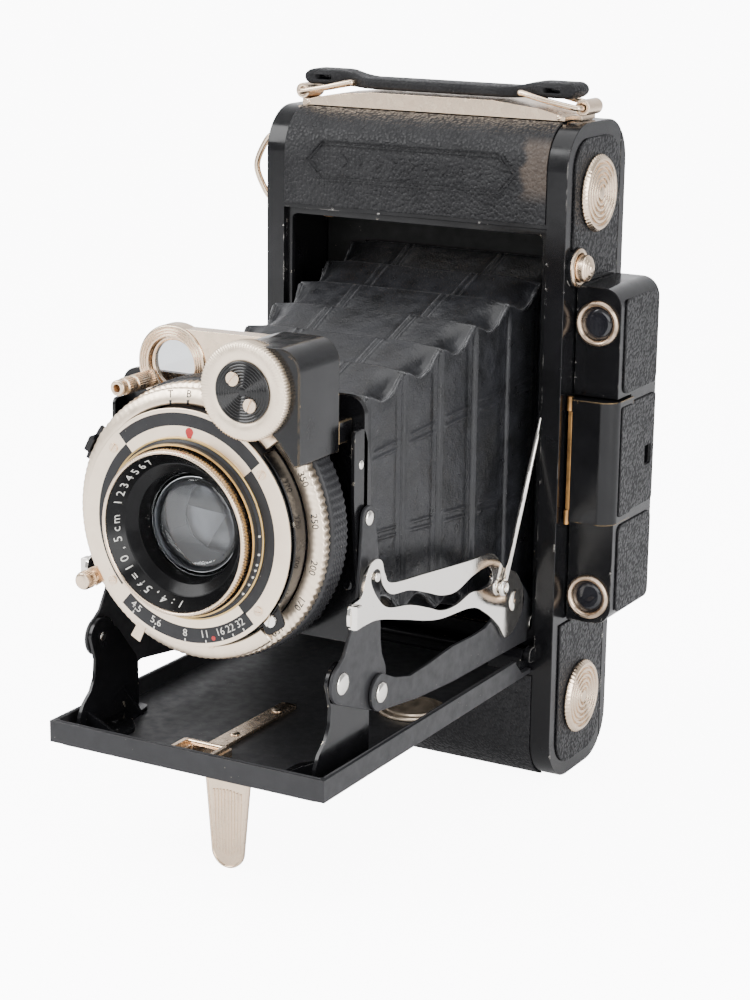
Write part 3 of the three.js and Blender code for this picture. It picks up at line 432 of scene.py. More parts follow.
def polar(radius, degrees):
    """The (x, z) of a point about the lens axis."""
    a = math.radians(degrees)
    return radius * math.cos(a), LENS_Z + radius * math.sin(a)


# ---------- materials ----------
NOISE_ROUGHNESS = 0.55


class Finish:
    """A small builder for node materials. Lengths in its noise scales are millimetres."""

    def __init__(self, name):
        self.material = bpy.data.materials.new(name)
        self.material.use_nodes = True
        self.nodes = self.material.node_tree.nodes
        self.links = self.material.node_tree.links
        self.shader = self.nodes["Principled BSDF"]
        coordinates = self.nodes.new("ShaderNodeTexCoord")
        scaling = self.nodes.new("ShaderNodeVectorMath")
        scaling.operation = "SCALE"
        scaling.inputs["Scale"].default_value = 1 / MM
        self.links.new(coordinates.outputs["Object"], scaling.inputs[0])
        self.where = scaling.outputs[0]

    def put(self, **values):
        """Sets inputs of the shader to plain values."""
        for key, value in values.items():
            self.shader.inputs[key.replace("_", " ").title().replace("Ior", "IOR")].default_value = value
        return self

    def plug(self, socket, target):
        """Drives an input of the shader from a socket."""
        self.links.new(socket, self.shader.inputs[target])

    def noise(self, size, detail=3.0, stretch=(1, 1, 1)):
        """Soft noise whose spots are about size millimetres wide."""
        where = self.where
        if stretch != (1, 1, 1):
            mapping = self.nodes.new("ShaderNodeVectorMath")
            mapping.operation = "MULTIPLY"
            mapping.inputs[1].default_value = stretch
            self.links.new(where, mapping.inputs[0])
            where = mapping.outputs[0]
        node = self.nodes.new("ShaderNodeTexNoise")
        node.inputs["Scale"].default_value = 1 / size
        node.inputs["Detail"].default_value = detail
        node.inputs["Roughness"].default_value = NOISE_ROUGHNESS
        self.links.new(where, node.inputs["Vector"])
        return node.outputs["Fac"]

    def cells(self, size):
        """Distance from the middle of the nearest of many cells about size millimetres wide."""
        node = self.nodes.new("ShaderNodeTexVoronoi")
        node.inputs["Scale"].default_value = 1 / size
        self.links.new(self.where, node.inputs["Vector"])
        return node.outputs["Distance"]

    def ramp(self, socket, *stops):
        """Maps a value through (place, value) or (place, colour) stops."""
        node = self.nodes.new("ShaderNodeValToRGB")
        elements = node.color_ramp.elements
        while len(elements) < len(stops):
            elements.new(0.5)
        for element, (place, value) in zip(elements, stops):
            element.position = place
            element.color = (*value, 1) if isinstance(value, tuple) else (value, value, value, 1)
        self.links.new(socket, node.inputs["Fac"])
        return node.outputs["Color"]

    def math(self, operation, a, b):
        node = self.nodes.new("ShaderNodeMath")
        node.operation = operation
        for slot, value in zip(node.inputs, (a, b)):
            if isinstance(value, (int, float)):
                slot.default_value = value
            else:
                self.links.new(value, slot)
        return node.outputs[0]

    def mix(self, factor, a, b):
        """Goes from a to b, each a colour or a socket, as the factor goes from 0 to 1."""
        node = self.nodes.new("ShaderNodeMix")
        node.data_type = "RGBA"
        self.links.new(factor, node.inputs["Factor"])
        for slot, value in ((node.inputs[6], a), (node.inputs[7], b)):
            if isinstance(value, tuple):
                slot.default_value = (*value, 1)
            else:
                self.links.new(value, slot)
        return node.outputs[2]

    def edges(self, radius):
        """Is 1 on sharp edges within a radius in millimetres, and 0 on flat faces."""
        rounded_normal = self.nodes.new("ShaderNodeBevel")
        rounded_normal.samples = 4
        rounded_normal.inputs["Radius"].default_value = radius * MM
        true_normal = self.nodes.new("ShaderNodeNewGeometry")
        dot = self.nodes.new("ShaderNodeVectorMath")
        dot.operation = "DOT_PRODUCT"
        self.links.new(rounded_normal.outputs[0], dot.inputs[0])
        self.links.new(true_normal.outputs["Normal"], dot.inputs[1])
        return self.ramp(dot.outputs["Value"], (0.55, 1.0), (0.97, 0.0))

    def axis(self, name):
        """One coordinate of the shaded point, in millimetres."""
        split = self.nodes.new("ShaderNodeSeparateXYZ")
        self.links.new(self.where, split.inputs[0])
        return split.outputs[name]

    def bump(self, *layers):
        """Layers are (height socket, depth in millimetres)."""
        last = None
        for height, depth in layers:
            node = self.nodes.new("ShaderNodeBump")
            node.inputs["Strength"].default_value = 1.0
            node.inputs["Distance"].default_value = depth * MM
            self.links.new(height, node.inputs["Height"])
            if last:
                self.links.new(last, node.inputs["Normal"])
            last = node.outputs["Normal"]
        self.plug(last, "Normal")
        return self


def enamel(
    name, base=(0.0035, 0.0035, 0.004), rough=(0.12, 0.3), wear=0.62, metal=(0.62, 0.56, 0.46), radius=0.35
):
    """Glossy black enamel, rubbed through to metal along its edges, with chips and dust."""
    f = Finish(name)
    rub = f.math("MULTIPLY", f.edges(radius), f.ramp(f.noise(5.0, 4), (wear, 0.0), (wear + 0.1, 1.0)))
    chips = f.ramp(f.noise(2.2, 2), (0.685, 0.0), (0.695, 1.0))
    near_edge = f.ramp(f.edges(radius * 3), (0.2, 0.0), (0.6, 1.0))
    bare = f.math("MAXIMUM", rub, f.math("MULTIPLY", chips, near_edge))
    cloud = f.mix(f.ramp(f.noise(9.0, 4), (0.35, 0.0), (0.75, 1.0)), base, tuple(c * 1.9 for c in base))
    f.plug(f.mix(bare, cloud, metal), "Base Color")
    f.plug(bare, "Metallic")
    smear = f.ramp(f.noise(6.0, 5), (0.3, rough[0]), (0.75, rough[1]))
    f.plug(f.mix(bare, smear, (0.3, 0.3, 0.3)), "Roughness")
    f.put(coat_weight=0.08, coat_roughness=0.1, specular_ior_level=0.26)
    f.bump((f.noise(3.5, 2), 0.012), (bare, 0.02))
    return f.material


def satin_black(name, base=(0.012, 0.012, 0.013), rough=(0.32, 0.5), shine=0.28):
    """Satin black lacquer on stamped steel, speckled with age."""
    f = Finish(name)
    rub = f.math("MULTIPLY", f.edges(0.25), f.ramp(f.noise(3.0, 3), (0.6, 0.0), (0.72, 1.0)))
    specks = f.ramp(f.cells(1.1), (0.06, 1.0), (0.1, 0.0))
    spotted = f.math("MULTIPLY", specks, f.ramp(f.noise(7.0, 2), (0.56, 0.0), (0.62, 1.0)))
    bare = f.math("MAXIMUM", rub, f.math("MULTIPLY", spotted, 0.6))
    lacquer = f.mix(f.noise(4.0, 5), base, tuple(c * 2.4 for c in base))
    f.plug(f.mix(bare, lacquer, (0.42, 0.38, 0.32)), "Base Color")
    f.plug(f.math("MULTIPLY", rub, 0.9), "Metallic")
    f.plug(f.ramp(f.noise(2.5, 5), (0.3, rough[0]), (0.7, rough[1])), "Roughness")
    f.put(specular_ior_level=shine)
    f.bump((f.noise(0.6, 3), 0.01), (f.noise(5.0, 2), 0.03))
    return f.material


def pebble_leather(name, size=0.85, depth=0.2, worn=False, shine=0.27):
    """Black pebble-grained leather. The worn kind has a rubbed brown patch at one end."""
    f = Finish(name)
    grain = f.ramp(f.cells(size), (0.0, 1.0), (0.42, 0.75), (0.72, 0.0))
    fine = f.cells(size * 0.45)
    base = f.mix(
        f.ramp(f.noise(8.0, 5), (0.35, 0.0), (0.7, 1.0)), (0.006, 0.006, 0.007), (0.014, 0.014, 0.015)
    )
    if worn:
        reach = f.math("ADD", f.axis("X"), f.math("MULTIPLY", f.noise(4.0, 4), 9.0))
        patch = f.ramp(f.math("MULTIPLY", reach, 0.01), (0.333, 0.0), (0.352, 0.75))
        ends = f.ramp(
            f.math("MULTIPLY", f.axis("Z"), 0.005), (0.722, 0.0), (0.742, 1.0), (0.79, 1.0), (0.80, 0.0)
        )
        patch = f.math("MULTIPLY", patch, ends)
        base = f.mix(patch, base, f.mix(f.noise(1.6, 4), (0.045, 0.032, 0.024), (0.10, 0.078, 0.062)))
    f.plug(base, "Base Color")
    f.plug(f.mix(grain, (0.62, 0.62, 0.62), f.ramp(f.noise(3.0, 3), (0.3, 0.24), (0.7, 0.4))), "Roughness")
    f.put(specular_ior_level=shine)
    f.bump((grain, depth), (fine, depth * 0.25), (f.noise(12.0, 2), 0.1))
    return f.material


def bellows_leather(name):
    """Thin, semi-gloss bellows leather with a fine grain. Its fold edges are painted light grey, partly as
    rubbed wear and partly as a painted highlight along the ridges.
    """
    f = Finish(name)
    grain = f.cells(0.5)
    rubbed = f.ramp(f.noise(6.0, 5), (0.35, 0.0), (0.7, 1.0))
    tone = f.mix(rubbed, (0.004, 0.0042, 0.005), (0.011, 0.0115, 0.014))
    # fold edges painted light grey: rubbed wear plus a painted highlight along each ridge
    edge = f.math("MULTIPLY", f.edges(0.9), f.ramp(f.noise(2.0, 4), (0.25, 0.15), (0.6, 1.0)))
    f.plug(f.mix(edge, tone, (0.24, 0.24, 0.245)), "Base Color")
    f.plug(f.ramp(f.noise(3.0, 5), (0.3, 0.26), (0.7, 0.42)), "Roughness")
    f.put(specular_ior_level=0.45, sheen_weight=0.04, sheen_roughness=0.4)
    f.bump((grain, 0.035), (f.noise(1.6, 4), 0.06), (f.noise(7.0, 3), 0.35))
    return f.material


def plated(name, tint, rough, scratch=0.006, stain=(0.5, 0.44, 0.36), stained=0.25, brush=(1, 1, 1)):
    """Plated metal with fine scratches, cloudy stains and uneven polish."""
    f = Finish(name)
    cloud = f.ramp(f.noise(4.0, 5), (0.45, 0.0), (0.8, stained))
    spots = f.ramp(f.cells(1.6), (0.05, 1.0), (0.08, 0.0))
    pits = f.math("MULTIPLY", spots, f.ramp(f.noise(5, 2), (0.5, 0.0), (0.6, 1.0)))
    f.plug(f.mix(f.math("MAXIMUM", cloud, pits), tint, stain), "Base Color")
    f.put(metallic=1.0)
    f.plug(f.ramp(f.noise(2.0, 5, brush), (0.3, rough[0]), (0.75, rough[1])), "Roughness")
    f.bump((f.noise(0.35, 2, (1, 1, 0.12)), scratch), (f.noise(0.5, 2, brush), scratch))
    return f.material


def lens_glass(name, tint=(0.92, 0.95, 0.97), roughness=0.01):
    """Polished optical glass with a trace of dust."""
    f = Finish(name)
    dust = f.ramp(f.noise(0.8, 4), (0.58, roughness), (0.8, 0.08))
    f.plug(dust, "Roughness")
    f.put(base_color=(*tint, 1), transmission_weight=1.0, ior=1.52, specular_ior_level=0.5)
    return f.material


def dark_glass(name, tint=(0.05, 0.05, 0.06)):
    """Glass drawn as a glossy, nearly black pane, with the shade of the dark chamber behind it painted into
    its colour.
    """
    f = Finish(name)
    f.plug(f.mix(f.noise(5.0, 3), tint, tuple(c * 2.2 for c in tint)), "Base Color")
    f.plug(f.ramp(f.noise(1.2, 4), (0.4, 0.03), (0.8, 0.14)), "Roughness")
    f.put(coat_weight=0.12, coat_roughness=0.02)
    f.bump((f.noise(6.0, 2), 0.01))
    return f.material


def paint(name, colour, rough=(0.35, 0.55)):
    """Engraving paint, slightly uneven."""
    f = Finish(name)
    f.plug(f.mix(f.noise(0.6, 4), colour, tuple(c * 0.72 for c in colour)), "Base Color")
    f.plug(f.ramp(f.noise(0.5, 3), (0.3, rough[0]), (0.7, rough[1])), "Roughness")
    f.bump((f.noise(0.3, 3), 0.004))
    return f.material


def turned_wood(name):
    """Turned wood of a film spool core."""
    f = Finish(name)
    rings = f.noise(1.4, 5, (0.12, 1, 1))
    f.plug(f.mix(rings, (0.30, 0.17, 0.08), (0.13, 0.07, 0.035)), "Base Color")
    f.plug(f.ramp(rings, (0.3, 0.45), (0.7, 0.65)), "Roughness")
    f.bump((rings, 0.05))
    return f.material


ENAMEL = enamel("black_enamel")
BODY_ENAMEL = enamel("body_enamel", wear=0.55, metal=(0.78, 0.75, 0.70), radius=0.5)
BRASSED = enamel("brassed_enamel", wear=0.34, metal=(0.62, 0.40, 0.16), radius=0.55)
BRASSED_TURRET = enamel("turret_enamel", wear=0.42, metal=(0.55, 0.40, 0.22), radius=0.7)
SATIN = satin_black("satin_black")
MATT = satin_black("matt_black", base=(0.006, 0.006, 0.006), rough=(0.55, 0.75))
GROOVED = satin_black("grooved_enamel", base=(0.004, 0.004, 0.004), rough=(0.1, 0.2), shine=0.4)
DIAL_BLACK = satin_black("dial_black", base=(0.010, 0.010, 0.011), rough=(0.3, 0.42))
BARREL_BLACK = satin_black("barrel_black", base=(0.003, 0.003, 0.0032), rough=(0.16, 0.26), shine=0.14)
LEATHER = pebble_leather("pebble_leather")
WORN_LEATHER = pebble_leather("worn_leather", worn=True)
STRAP_LEATHER = pebble_leather("strap_leather", size=0.55, depth=0.09, shine=0.16)
BELLOWS_LEATHER = bellows_leather("bellows_leather")
NICKEL = plated("nickel", (0.83, 0.65, 0.48), (0.18, 0.34))
SATIN_NICKEL = plated("satin_nickel", (0.97, 0.81, 0.63), (0.3, 0.46), stained=0.12)
AGED_NICKEL = plated("aged_nickel", (0.60, 0.46, 0.34), (0.22, 0.42), stain=(0.10, 0.07, 0.05), stained=0.8)
CHROME = plated("chrome", (0.90, 0.86, 0.80), (0.05, 0.13), scratch=0.003, stained=0.08)
BRASS = plated("brass", (0.62, 0.43, 0.18), (0.25, 0.42), stain=(0.25, 0.15, 0.06), stained=0.6)
WORN_BRASS = plated("worn_brass", (0.50, 0.27, 0.10), (0.3, 0.5), stain=(0.03, 0.02, 0.015), stained=0.95)
GLASS = lens_glass("lens_glass")
WINDOW_GLASS = lens_glass("window_glass", roughness=0.02)
# dark_glass and ruby_glass panes carry painted shade: the darkness of the chamber behind the glass is
# painted into them
DARK_GLASS = dark_glass("dark_glass", (0.008, 0.008, 0.010))
RUBY_GLASS = dark_glass("ruby_glass", (0.16, 0.004, 0.004))
IRIS_BLACK = plated("iris_black", (0.07, 0.07, 0.075), (0.4, 0.5), stain=(0.05, 0.05, 0.05), stained=0.5)
IRIS_STEEL = plated("iris_steel", (0.15, 0.15, 0.16), (0.42, 0.52), stain=(0.11, 0.11, 0.12), stained=0.5)
WHITE = paint("white_engraving", (0.82, 0.80, 0.74))
BLACK = paint("black_engraving", (0.015, 0.015, 0.015))
RED = paint("red_engraving", (0.50, 0.02, 0.02))
WOOD = turned_wood("turned_wood")


# ---------- body ----------
BODY_EDGE = 0.9
BUTTON_HOLE = 3.5
BUTTON_COLLAR = (4.65, 42.4)  # radius and outer end


def body_outline(grow=0.0):
    """The side view of the closed body, in (y, z), grown by a margin."""
    return rounded(BODY_FRONT - grow, BODY_BACK + grow, -grow, BODY_TOP + grow, CORNER + grow, 14)


def body_shell():
    """The body's shell, open at the front for the bed and at the back for the film door."""
    case = prism(bmesh.new(), "X", body_outline(), -BODY_HALF, BODY_HALF)
    round_edges(case, BODY_EDGE)
    rear = slab(y0=BODY_JOIN)
    inner_corner = CORNER - WALL
    hollow_outline = rounded(
        BODY_FRONT + WALL, BODY_BACK + 2 * CORNER, WALL, BODY_TOP - WALL, inner_corner, 10
    )
    inner_half = BODY_HALF - WALL
    hollow = prism(bmesh.new(), "X", hollow_outline, -inner_half, inner_half)
    mouth = slab(-MOUTH["half"], MOUTH["half"], -20, -10, MOUTH["low"], MOUTH["high"])
    button = Span("release_button")
    button_hole = drill("X", button.y, button.z, BUTTON_HOLE, 30, 60, 48)
    bm = cut(case, rear, hollow, mouth, button_hole)
    for sign in (1, -1):
        x_in, x_out = sorted((sign * 34.9, sign * 36.6))
        lug = soften([(-20.0, 32.4), (-16, 32.2), (-16, 36), (-19.4, 36)], 1.2)
        prism(bm, "X", lug, x_in, x_out)
        pin = Span("strut_right").x1 * sign
        wall = (inner_half + 0.3) * sign
        rivet(bm, "X", STRUT_PIVOT, wall, -sign, 1.2, abs(wall) - abs(pin) + 0.4)
    radius, end = BUTTON_COLLAR
    root = BODY_HALF - 0.4
    collar = [
        (BUTTON_HOLE, root), (radius, root), (radius, end - 0.2), (radius - 0.45, end), (BUTTON_HOLE, end)
    ]
    lathe(bm, "X", (button.y, button.z), collar, 64)
    return bm


def mouth_frame():
    """A light-baffle frame inside the mouth, with the bed's hinge bar."""
    inner = rounded(-34.6, 34.6, 39.0, 137.0, 1.5, 3)
    outer = rounded(-36.4, 36.4, 35.2, 139.6, 1.5, 3)
    bm = prism(bmesh.new(), "Y", outer, -15.0, -13.6, [inner])
    half, y, z = 34.8, *HINGE
    return tube(bm, [(-half, y, z), (half, y, z)], 0.95)


def wrapped_leather(low, high, y_edge, half):
    """Leather that wraps the front face and the rounded top or bottom end of the body."""
    grown = prism(bmesh.new(), "X", body_outline(LEATHER_THICK), -half, half)
    core = prism(bmesh.new(), "X", body_outline(0.06), -half - 2, half + 2)
    return cut(grown, core, slab(y0=y_edge), slab(z0=high), slab(z1=low))


def badge():
    """A generic embossed badge: a long hexagon with an inner line and a row of lozenges."""
    bm = bmesh.new()
    y = BODY_FRONT - 0.5
    cx, cz = -0.8, 151.0
    half, tall, nose = 24.5, 5.2, 4.5
    for grow, width in ((0.0, 0.45), (-1.3, 0.3)):
        outer = [
            (cx - half - nose - grow, cz), (cx - half, cz - tall - grow), (cx + half, cz - tall - grow),
            (cx + half + nose + grow, cz), (cx + half, cz + tall + grow), (cx - half, cz + tall + grow),
        ]
        inner = [(cx + (u - cx) * (1 - width / half), cz + (v - cz) * (1 - width / tall)) for u, v in outer]
        prism(bm, "Y", outer, y - 0.16, y + 0.1, [inner])
    for i in range(-4, 5):
        reach = 1.1 if i % 2 else 1.7
        u = cx + i * 4.6
        prism(
            bm, "Y", [(u - reach, cz), (u, cz - reach), (u + reach, cz), (u, cz + reach)], y - 0.18,
            y + 0.1,
        )
    return bm


def side_leather(side, low, high, holes):
    """The leather on one side of the body between two heights, with round holes (y, z, radius)."""
    inset = 3.6
    area = rounded(BODY_FRONT + inset, BODY_JOIN - 1.2, inset, BODY_TOP - inset, CORNER - inset, 12)
    bm = prism(bmesh.new(), "X", area, BODY_HALF + SKIN_LIFT, BODY_HALF + LEATHER_THICK)
    bm = cut(bm, slab(z1=low), slab(z0=high), *(drill("X", y, z, r, 30, 60) for y, z, r in holes))
    return bm if side > 0 else mirrored(bm)


def stepped_knob(seat, r, face, z):
    """A spool knob with turned concentric grooves in its face and a milled edge."""
    grooves, deep, shallow = 5, 0.7, 0.1
    profile = [(0, seat), (r, seat), (r, face - 0.9), (r - 0.8, face)]
    step = (r - 1.6) / (grooves + 0.6)
    radius = r - 1.5
    for _ in range(grooves):
        for share, depth in ((0, 0), (0.12, deep), (0.45, deep), (0.55, shallow), (1, 0)):
            profile.append((radius - step * share, face - depth))
        radius -= step
    profile.append((0, face))
    return lathe(bmesh.new(), "X", (SPOOL_Y, z), profile, 216, (r - 0.05, 0.22, 54))


def film_spool(z):
    """A film spool: a wooden core, two flanges and a socket in each end."""
    half = Span("takeup_spool").x1
    socket, core, flange, depth = 2.6, 4, 11.5, 6
    end = [
        (0, half - depth), (socket, half - depth), (socket, half), (flange - 0.3, half),
        (flange, half - 0.2),
    ]
    end += [(flange, half - 0.9), (core, half - 1.2)]
    profile = [(r, -x) for r, x in end] + end[::-1]
    return lathe(bmesh.new(), "X", (SPOOL_Y, z), profile, 72)


def film_roller(roller):
    """A roller with a pin at each end and a waist between its two lands."""
    r, pin, waist = roller.z1 - roller.z, 1, 0.4
    half = [(0, 0), (pin, 0), (pin, 1), (r, 1.2), (r, 6), (r - waist, 6.4)]
    profile = [(radius, roller.x0 + depth) for radius, depth in half]
    profile += [(radius, roller.x1 - depth) for radius, depth in half[::-1]]
    return lathe(bmesh.new(), "X", (roller.y, roller.z), profile, 48)


def build_body():
    """The shell with its leathers, knobs, spools, rollers and release button."""
    piece("body_case", body_shell(), BODY_ENAMEL, "body", ["body_shell"], bevel=0.15)
    piece("mouth_frame", mouth_frame(), ENAMEL, "body")
    top = Span("front_leather_top")
    skin_half = 35.8
    upper = wrapped_leather(top.z0, ABOVE, top.y1, skin_half)
    piece("front_leather_upper", upper, WORN_LEATHER, "body", ["front_leather_top"], bevel=0.18)
    lower = wrapped_leather(BELOW, 28.2, top.y1, skin_half)
    piece("front_leather_lower", lower, LEATHER, "body", bevel=0.18)
    piece("embossed_badge", badge(), WORN_LEATHER, "body", bevel=0.1)
    button = Span("release_button")
    knob_holes = [(SPOOL_Y, SPOOL_HIGH, 4.0), (SPOOL_Y, SPOOL_LOW, 4.0), (button.y, button.z, 4.75)]
    for name, side, low, high in (
        ("side_leather_right_top", 1, HOUSING.z1 + 1, ABOVE),
        ("side_leather_right_bottom", 1, BELOW, HOUSING.z0 - 1),
        ("side_leather_left", -1, BELOW, ABOVE),
    ):
        holes = knob_holes if side > 0 else [knob_holes[0]]
        bm = side_leather(side, low, high, holes)
        piece(name + "_skin", bm, LEATHER, "body", [name], bevel=0.16)
    for name, z in (("top", SPOOL_HIGH), ("bottom", SPOOL_LOW)):
        knob = Span(f"spool_knob_{name}")
        r = knob.z1 - z
        bm = stepped_knob(KNOB_SEAT, r, knob.x1, z)
        stem, seat = 1.95, BODY_HALF + 1
        lathe(bm, "X", (SPOOL_Y, z), [(0, knob.x0), (stem, knob.x0), (stem, seat), (0, seat)], 32)
        node = f"spool_knob_{name}"
        piece(f"stepped_knob_{name}", bm, NICKEL, node, [node], bevel=0.1)
    piece("turned_spool_top", film_spool(SPOOL_HIGH), WOOD, "winding_key", ["takeup_spool"])
    piece("turned_spool_bottom", film_spool(SPOOL_LOW), WOOD, "supply_spool", ["supply_spool"])
    for name in ("film_roller_top", "film_roller_bottom"):
        piece("turned_" + name, film_roller(Span(name)), NICKEL, name, [name])
    bm = lathe(bmesh.new(), "X", (button.y, button.z), [
        (0, button.x0), (3.2, button.x0), (3.2, 44.5), (2.9, 44.9), (2.6, 44.9), (2.45, 45.2), (1.9, 45.25),
        (1.75, 45.6), (1.1, 45.62), (0.95, 45.85), (0, 46),
    ], 64)
    piece("turned_release_button", bm, NICKEL, "release_button", ["release_button"], bevel=0.06)
    bm = lathe(bmesh.new(), "X", (button.y, button.z), [
        (3.5, 42.3), (3.5, 42.75), (4.0, 42.9), (4.6, 42.6), (4.6, BODY_HALF + 0.3), (3.7, BODY_HALF + 0.3),
    ], 72)
    piece("release_button_collar", bm, NICKEL, "body", bevel=0.06)


def build_winding_key():
    """The film winding key on the left side: a knurled spindle, a yoke and a folding wire bow."""
    y, z = SPOOL_Y, SPOOL_HIGH
    spindle = Span("winding_key_spindle")
    x = -BODY_HALF - 0.8
    bar = spindle.x0 + 1.9
    bm = lathe(bmesh.new(), "X", (y, z), [
        (0, x - 2.2), (4.4, x - 2.2), (5.2, x - 1.5), (5.4, x - 0.7), (5.4, x), (2, x), (2, spindle.x1),
        (0, spindle.x1),
    ], 160, (5.1, 0.25, 40))
    yoke = soften([(x - 2, z - 4.5), (spindle.x0, z - 4.1), (spindle.x0, z + 4.1), (x - 2, z + 4.5)], 0.8)
    prism(bm, "Y", yoke, y - 1.9, y + 1.9)
    piece("winding_key_yoke", bm, NICKEL, "winding_key", ["winding_key_spindle"], bevel=0.25)
    wire = Span("winding_key_wire")
    reach = wire.x0 + 0.8
    half = 7.5
    bow = smooth_path([
        (bar, y, z - half), (bar - 4, y, z - half - 0.6), (reach + 1.6, y, z - 4.5), (reach, y, z),
        (reach + 1.6, y, z + 4.5), (bar - 4, y, z + half + 0.6), (bar, y, z + half),
    ], 8)
    through = smooth_path([(bar, y, z + half), (bar, y, z), (bar, y, z - half)], 4)
    bm = tube(bmesh.new(), bow[:-1] + through[:-1], 0.8, 16, True)
    piece("winding_key_bow", bm, NICKEL, "winding_key_wire", ["winding_key_wire"], bevel=0)


def build_back():
    """The film door, its skin, and what it carries."""
    case = prism(bmesh.new(), "X", body_outline(), -BODY_HALF, BODY_HALF)
    round_edges(case, BODY_EDGE)
    slide = Span("red_window_slide")
    cover = cut(case, slab(y1=BACK.y0), drill("Y", 0, slide.z, 4.1, -10, 40))
    piece("back_door", cover, BODY_ENAMEL, "back", ["back_cover"], bevel=0.12)
    skin = Span("back_leather")
    area = rounded(skin.x0, skin.x1, skin.z0, skin.z1, 3)
    window = rounded(-10, 22, 78, 91, 1)
    latch_gap = rounded(-8, 8, 135.5, 147.9, 0.6)
    bm = prism(bmesh.new(), "Y", area, BODY_BACK + SKIN_LIFT, skin.y1, [window, latch_gap])
    piece("back_skin", bm, LEATHER, "back", ["back_leather"], bevel=0.16)
    build_red_window(slide)
    build_back_latch()
    build_pressure_plate(slide.z)


def build_red_window(slide):
    """The red film window, the track over it and the slide that covers it."""
    bm = prism(bmesh.new(), "Y", circle(0, slide.z, 4.05, 48), 14.4, 14.9)
    piece("red_window", bm, RUBY_GLASS, "back", bevel=0.05)
    bm = bmesh.new()
    y, x0, x1 = BODY_BACK, -9.4, 21.4
    for z in (79.2, 89.8):
        for root, half in ((y, 0.5), (y + 0.75, 0.9)):
            block(bm, x0, x1, root, y + 1.0, z - half, z + half)
    piece("red_window_track", bm, NICKEL, "back", bevel=0.08)
    bm = prism(bmesh.new(), "Y", rounded(-6.4, 6.4, 80.0, 89.0, 0.8), 17.2, 17.7)
    grip = [(0, 17.6), (2.1, 17.6), (2.3, 18.4), (2.2, 18.9), (0, 19)]
    lathe(bm, "Y", (0, slide.z), grip, 96, (2.05, 0.14, 24))
    node = "red_window_slide"
    piece("red_window_shutter", bm, ENAMEL, node, [node], bevel=0.1)


def build_back_latch():
    """The ribbed latch of the film door."""
    latch = Span("back_latch")
    bm = prism(bmesh.new(), "Y", rounded(latch.x0, latch.x1, latch.z0, latch.z1, 1.2), 17.2, 18)
    first_rib, rib_pitch = 142.7, 0.8
    for i in range(5):
        z = first_rib + i * rib_pitch
        block(bm, -5 + 0.15 * i, 5 - 0.15 * i, 17.9, latch.y1 - 0.12 * abs(2 - i), z - 0.26, z + 0.26)
    piece("ribbed_back_latch", bm, NICKEL, "back_latch", ["back_latch"], bevel=0.12)


def build_pressure_plate(hole_z):
    """The sprung plate that holds the film flat, with raised rails and a hole for the red window."""
    plate = Span("pressure_plate")
    area = rounded(plate.x0, plate.x1, plate.z0, plate.z1, 3)
    bm = prism(bmesh.new(), "Y", area, plate.y0, plate.y1, [circle(0, hole_z, 4, 40)])
    for x in (-24, -16, -8, 8, 16, 24):
        rail = rounded(x - 0.6, x + 0.6, plate.z0 + 5, plate.z1 - 5, 0.5, 3)
        prism(bm, "Y", rail, plate.y0 - 0.12, plate.y0 + 0.1)
    piece("sprung_pressure_plate", bm, MATT, "pressure_plate", ["pressure_plate"], bevel=0.15)


def build_handle():
    """The arched plate on top, rolled into a tube at each end, and the wire loops of the handle."""
    top = Span("top_plate")
    z0, crown = BODY_TOP + 0.2, top.z0 + 3.4
    lug_x, lug_z, lug_half = 38.5, 166.2, 3.8
    right = [
        (36.0, z0), (36.0, z0 + 0.9), (33.0, z0 + 1.7), (29.0, z0 + 2.6), (24.0, z0 + 3.1), (17.0, crown)
    ]
    arch = right + [(-x, z) for x, z in reversed(right)]
    bm = prism(bmesh.new(), "Y", arch, top.y0, top.y1)
    for sign in (1, -1):
        low, high = sorted((sign * 34.0, sign * lug_x))
        block(bm, low, high, -lug_half, lug_half, z0, z0 + 1.1)
        roll = [(1.0, -lug_half), (1.9, -lug_half), (1.9, lug_half), (1.0, lug_half)]
        lathe(bm, "Y", (sign * lug_x, lug_z), roll, 48)
        rivet(bm, "Y", (sign * 34.4, z0 + 0.75), top.y0 + 0.05, -1, 0.6, 0.3)
    piece("handle_plate", bm, NICKEL, "body", ["top_plate"], bevel=0.35)
    for name, sign in SIDES:
        node = f"handle_loop_{name}"
        outer, inner = lug_x, 23.0
        z_out, z_in = lug_z, 169.0
        z_mid = (z_out + z_in) / 2
        route = [
            (outer, -5, z_out), (outer - 1.2, -5.9, z_out + 0.1), (outer - 8, -6.6, z_mid),
            (inner + 1.2, -6.3, z_in), (inner, -5, z_in), (inner, 4.4, z_in), (inner + 1.0, 5.4, z_in),
            (outer - 8, 5.5, z_mid), (outer - 1, 5.4, z_out), (outer, 4.6, z_out),
        ]
        points = smooth_path([(x * sign, y, z) for x, y, z in route], 6)
        bm = tube(bmesh.new(), points, Span(node).z1 - z_in, 16, True)
        piece(f"handle_wire_{name}", bm, NICKEL, node, [node], bevel=0)
    build_strap()


def strap_height(reach):
    """Bottom and top of the leather grip at a distance from its middle. Its ends are folded double."""
    lift = min(1.0, max(0.0, (reach - 19.0) / 9.0))
    lift = lift * lift * (3 - 2 * lift)
    return 167.55 + 0.45 * lift, 170.35 + 1.5 * lift


